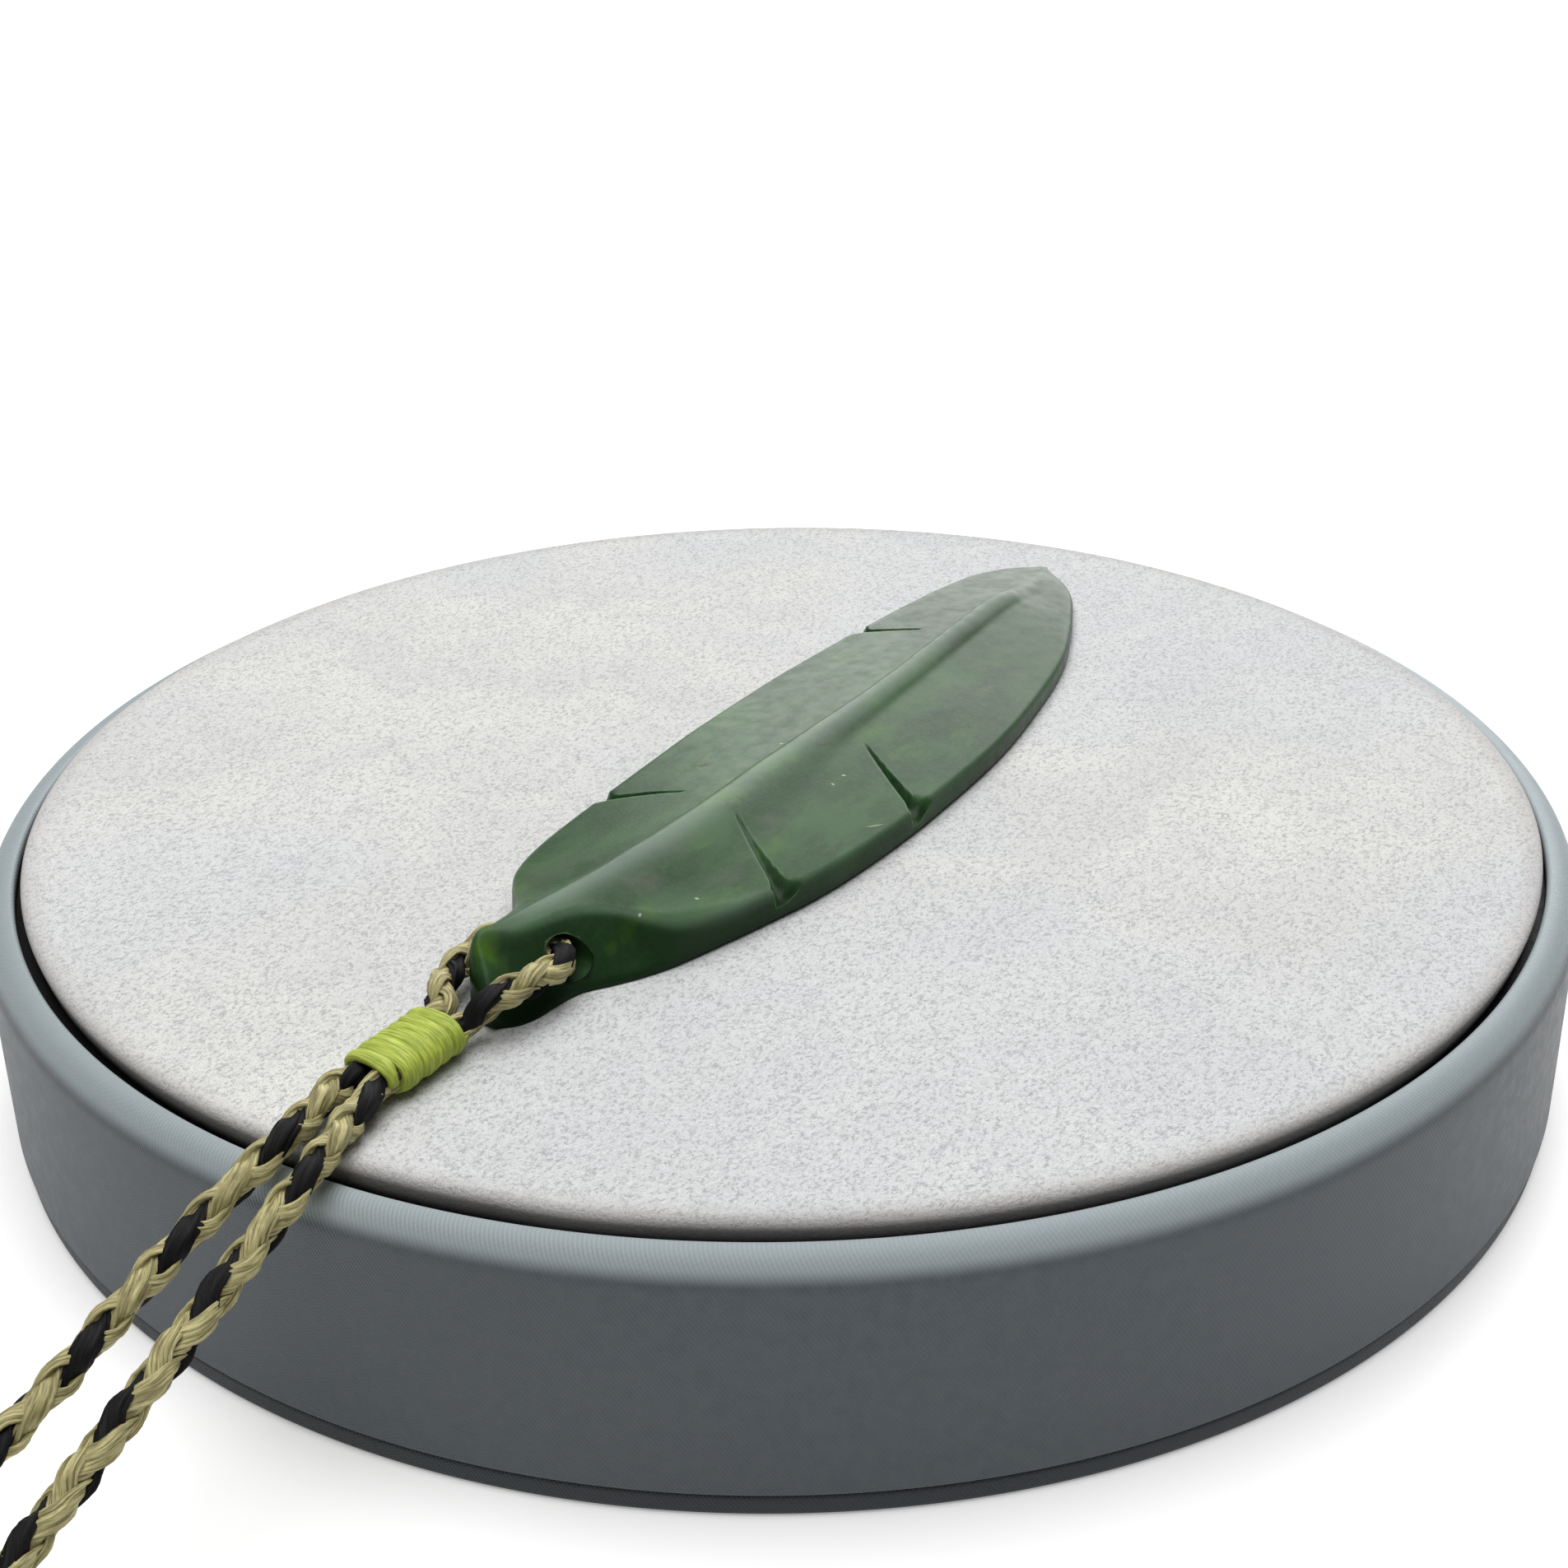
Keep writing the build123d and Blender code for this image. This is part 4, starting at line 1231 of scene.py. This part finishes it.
def add_cord(line):
    even, places = evenly(line, STRAND_STEP)
    khaki = thread_look("khaki_thread", (0.115, 0.095, 0.032), (0.72, 0.655, 0.325), 0.45, 0.1)
    black = thread_look("black_thread", (0.0005, 0.0005, 0.001), (0.005, 0.0045, 0.006), 0.6, 0.0)
    strand_piece("black_strand", even, places, -1, 0.0, BLACK_HALF_WIDTH, black)
    for i, (way, start) in enumerate([(-1, math.pi), (1, 0.0), (1, math.pi)], 1):
        strand_piece(f"khaki_strand_{i}", even, places, way, start, STRAND_HALF_WIDTH, khaki)


# The green thread's windings
THREAD_STEPS = 96
THREAD_SIDES = 20
THREAD_HALF_WIDTH_SHARE = 0.51
THREAD_BULGE = 1.04
THREAD_THICKNESS = 0.00034
THREAD_GROOVE = 0.12
THREAD_CREASE = 0.00012
THREAD_STRAY = 0.6
THREAD_END_INSET = 0.82
SLEEVE_SQUARENESS = 0.82
TUCK_TURNS = 0.18
TUCK_DEPTH = 0.14
TUCK_NARROWING = 0.4
SLEEVE_INSET = 0.00036
WINDINGS = [
    # name, node, axis, level, turns
    ("front_winding", "front_binding", (0, 1, 0), (1, 0, 0), 7),
    ("rear_winding", "rear_binding", (1, 0, 0), (0, 1, 0), 11),
]


def squared(value):
    """A sine or cosine pushed outwards, so that a round becomes a rounded oblong."""
    return math.copysign(abs(value) ** SLEEVE_SQUARENESS, value)


def wound_thread(name, node, axis, level, turns, material):
    """A flat waxed thread wound round a cord or a pair of cords."""
    low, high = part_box(node)
    middle = (low + high) / 2
    axis = Vector(axis)
    level = Vector(level)
    up = Vector((0, 0, 1))
    size = high - low
    length = size.dot(axis)
    half_level = size.dot(level) / 2 - SLEEVE_INSET
    half_up = size.z / 2 - SLEEVE_INSET
    pitch = length / turns
    half_thread = pitch * THREAD_HALF_WIDTH_SHARE
    points = []
    lay = []
    rows = turns * THREAD_STEPS
    for i in range(rows + 1):
        turn = i / THREAD_STEPS
        angle = math.tau * turn
        whole = min(int(turn), turns - 1)
        strays = [noise.noise(Vector(((whole + k) * 3.7, 0.0, half_level * 900))) for k in (0, 1)]
        drift = between(*strays, turn - whole) * pitch * THREAD_STRAY
        tuck = 1 - min(1.0, min(i, rows - i) / (THREAD_STEPS * TUCK_TURNS))
        along = (turn / turns - 0.5) * (length - 2 * half_thread * THREAD_END_INSET) + drift * (1 - tuck)
        shrink = 1 - TUCK_DEPTH * tuck
        cos_a = squared(math.cos(angle))
        sin_a = squared(math.sin(angle))
        centre = middle + axis * along
        centre += level * (cos_a * half_level * shrink) + up * (sin_a * half_up * shrink)
        outward = (level * (cos_a / half_level) + up * (sin_a / half_up)).normalized()
        for k in range(THREAD_SIDES):
            around = math.tau * k / THREAD_SIDES
            wide = math.cos(around) * half_thread * THREAD_BULGE * (1 - TUCK_NARROWING * tuck)
            groove = 1 - THREAD_GROOVE * (0.5 + 0.5 * math.cos(3 * around)) * max(0.0, math.sin(around))
            crease = noise.noise(Vector((turn * 7.0, k * 0.45, 2.0))) * THREAD_CREASE
            thick = math.sin(around) * THREAD_THICKNESS * groove + crease
            points.append(centre + axis * wide + outward * thick)
            lay.append((angle * half_level / MM, k / THREAD_SIDES))
    piece = mesh_object(name, points, tube_faces(rows + 1, THREAD_SIDES), material)
    add_lay(piece, lay)
    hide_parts(node)


def add_bindings():
    green = thread_look("green_thread", (0.20, 0.27, 0.03), (0.58, 0.66, 0.10), 0.45, 0.04)
    for winding in WINDINGS:
        wound_thread(*winding, green)


add_camera()
add_light()
add_floor()
add_stand()
add_feather()
add_cord(cord_line())
add_bindings()
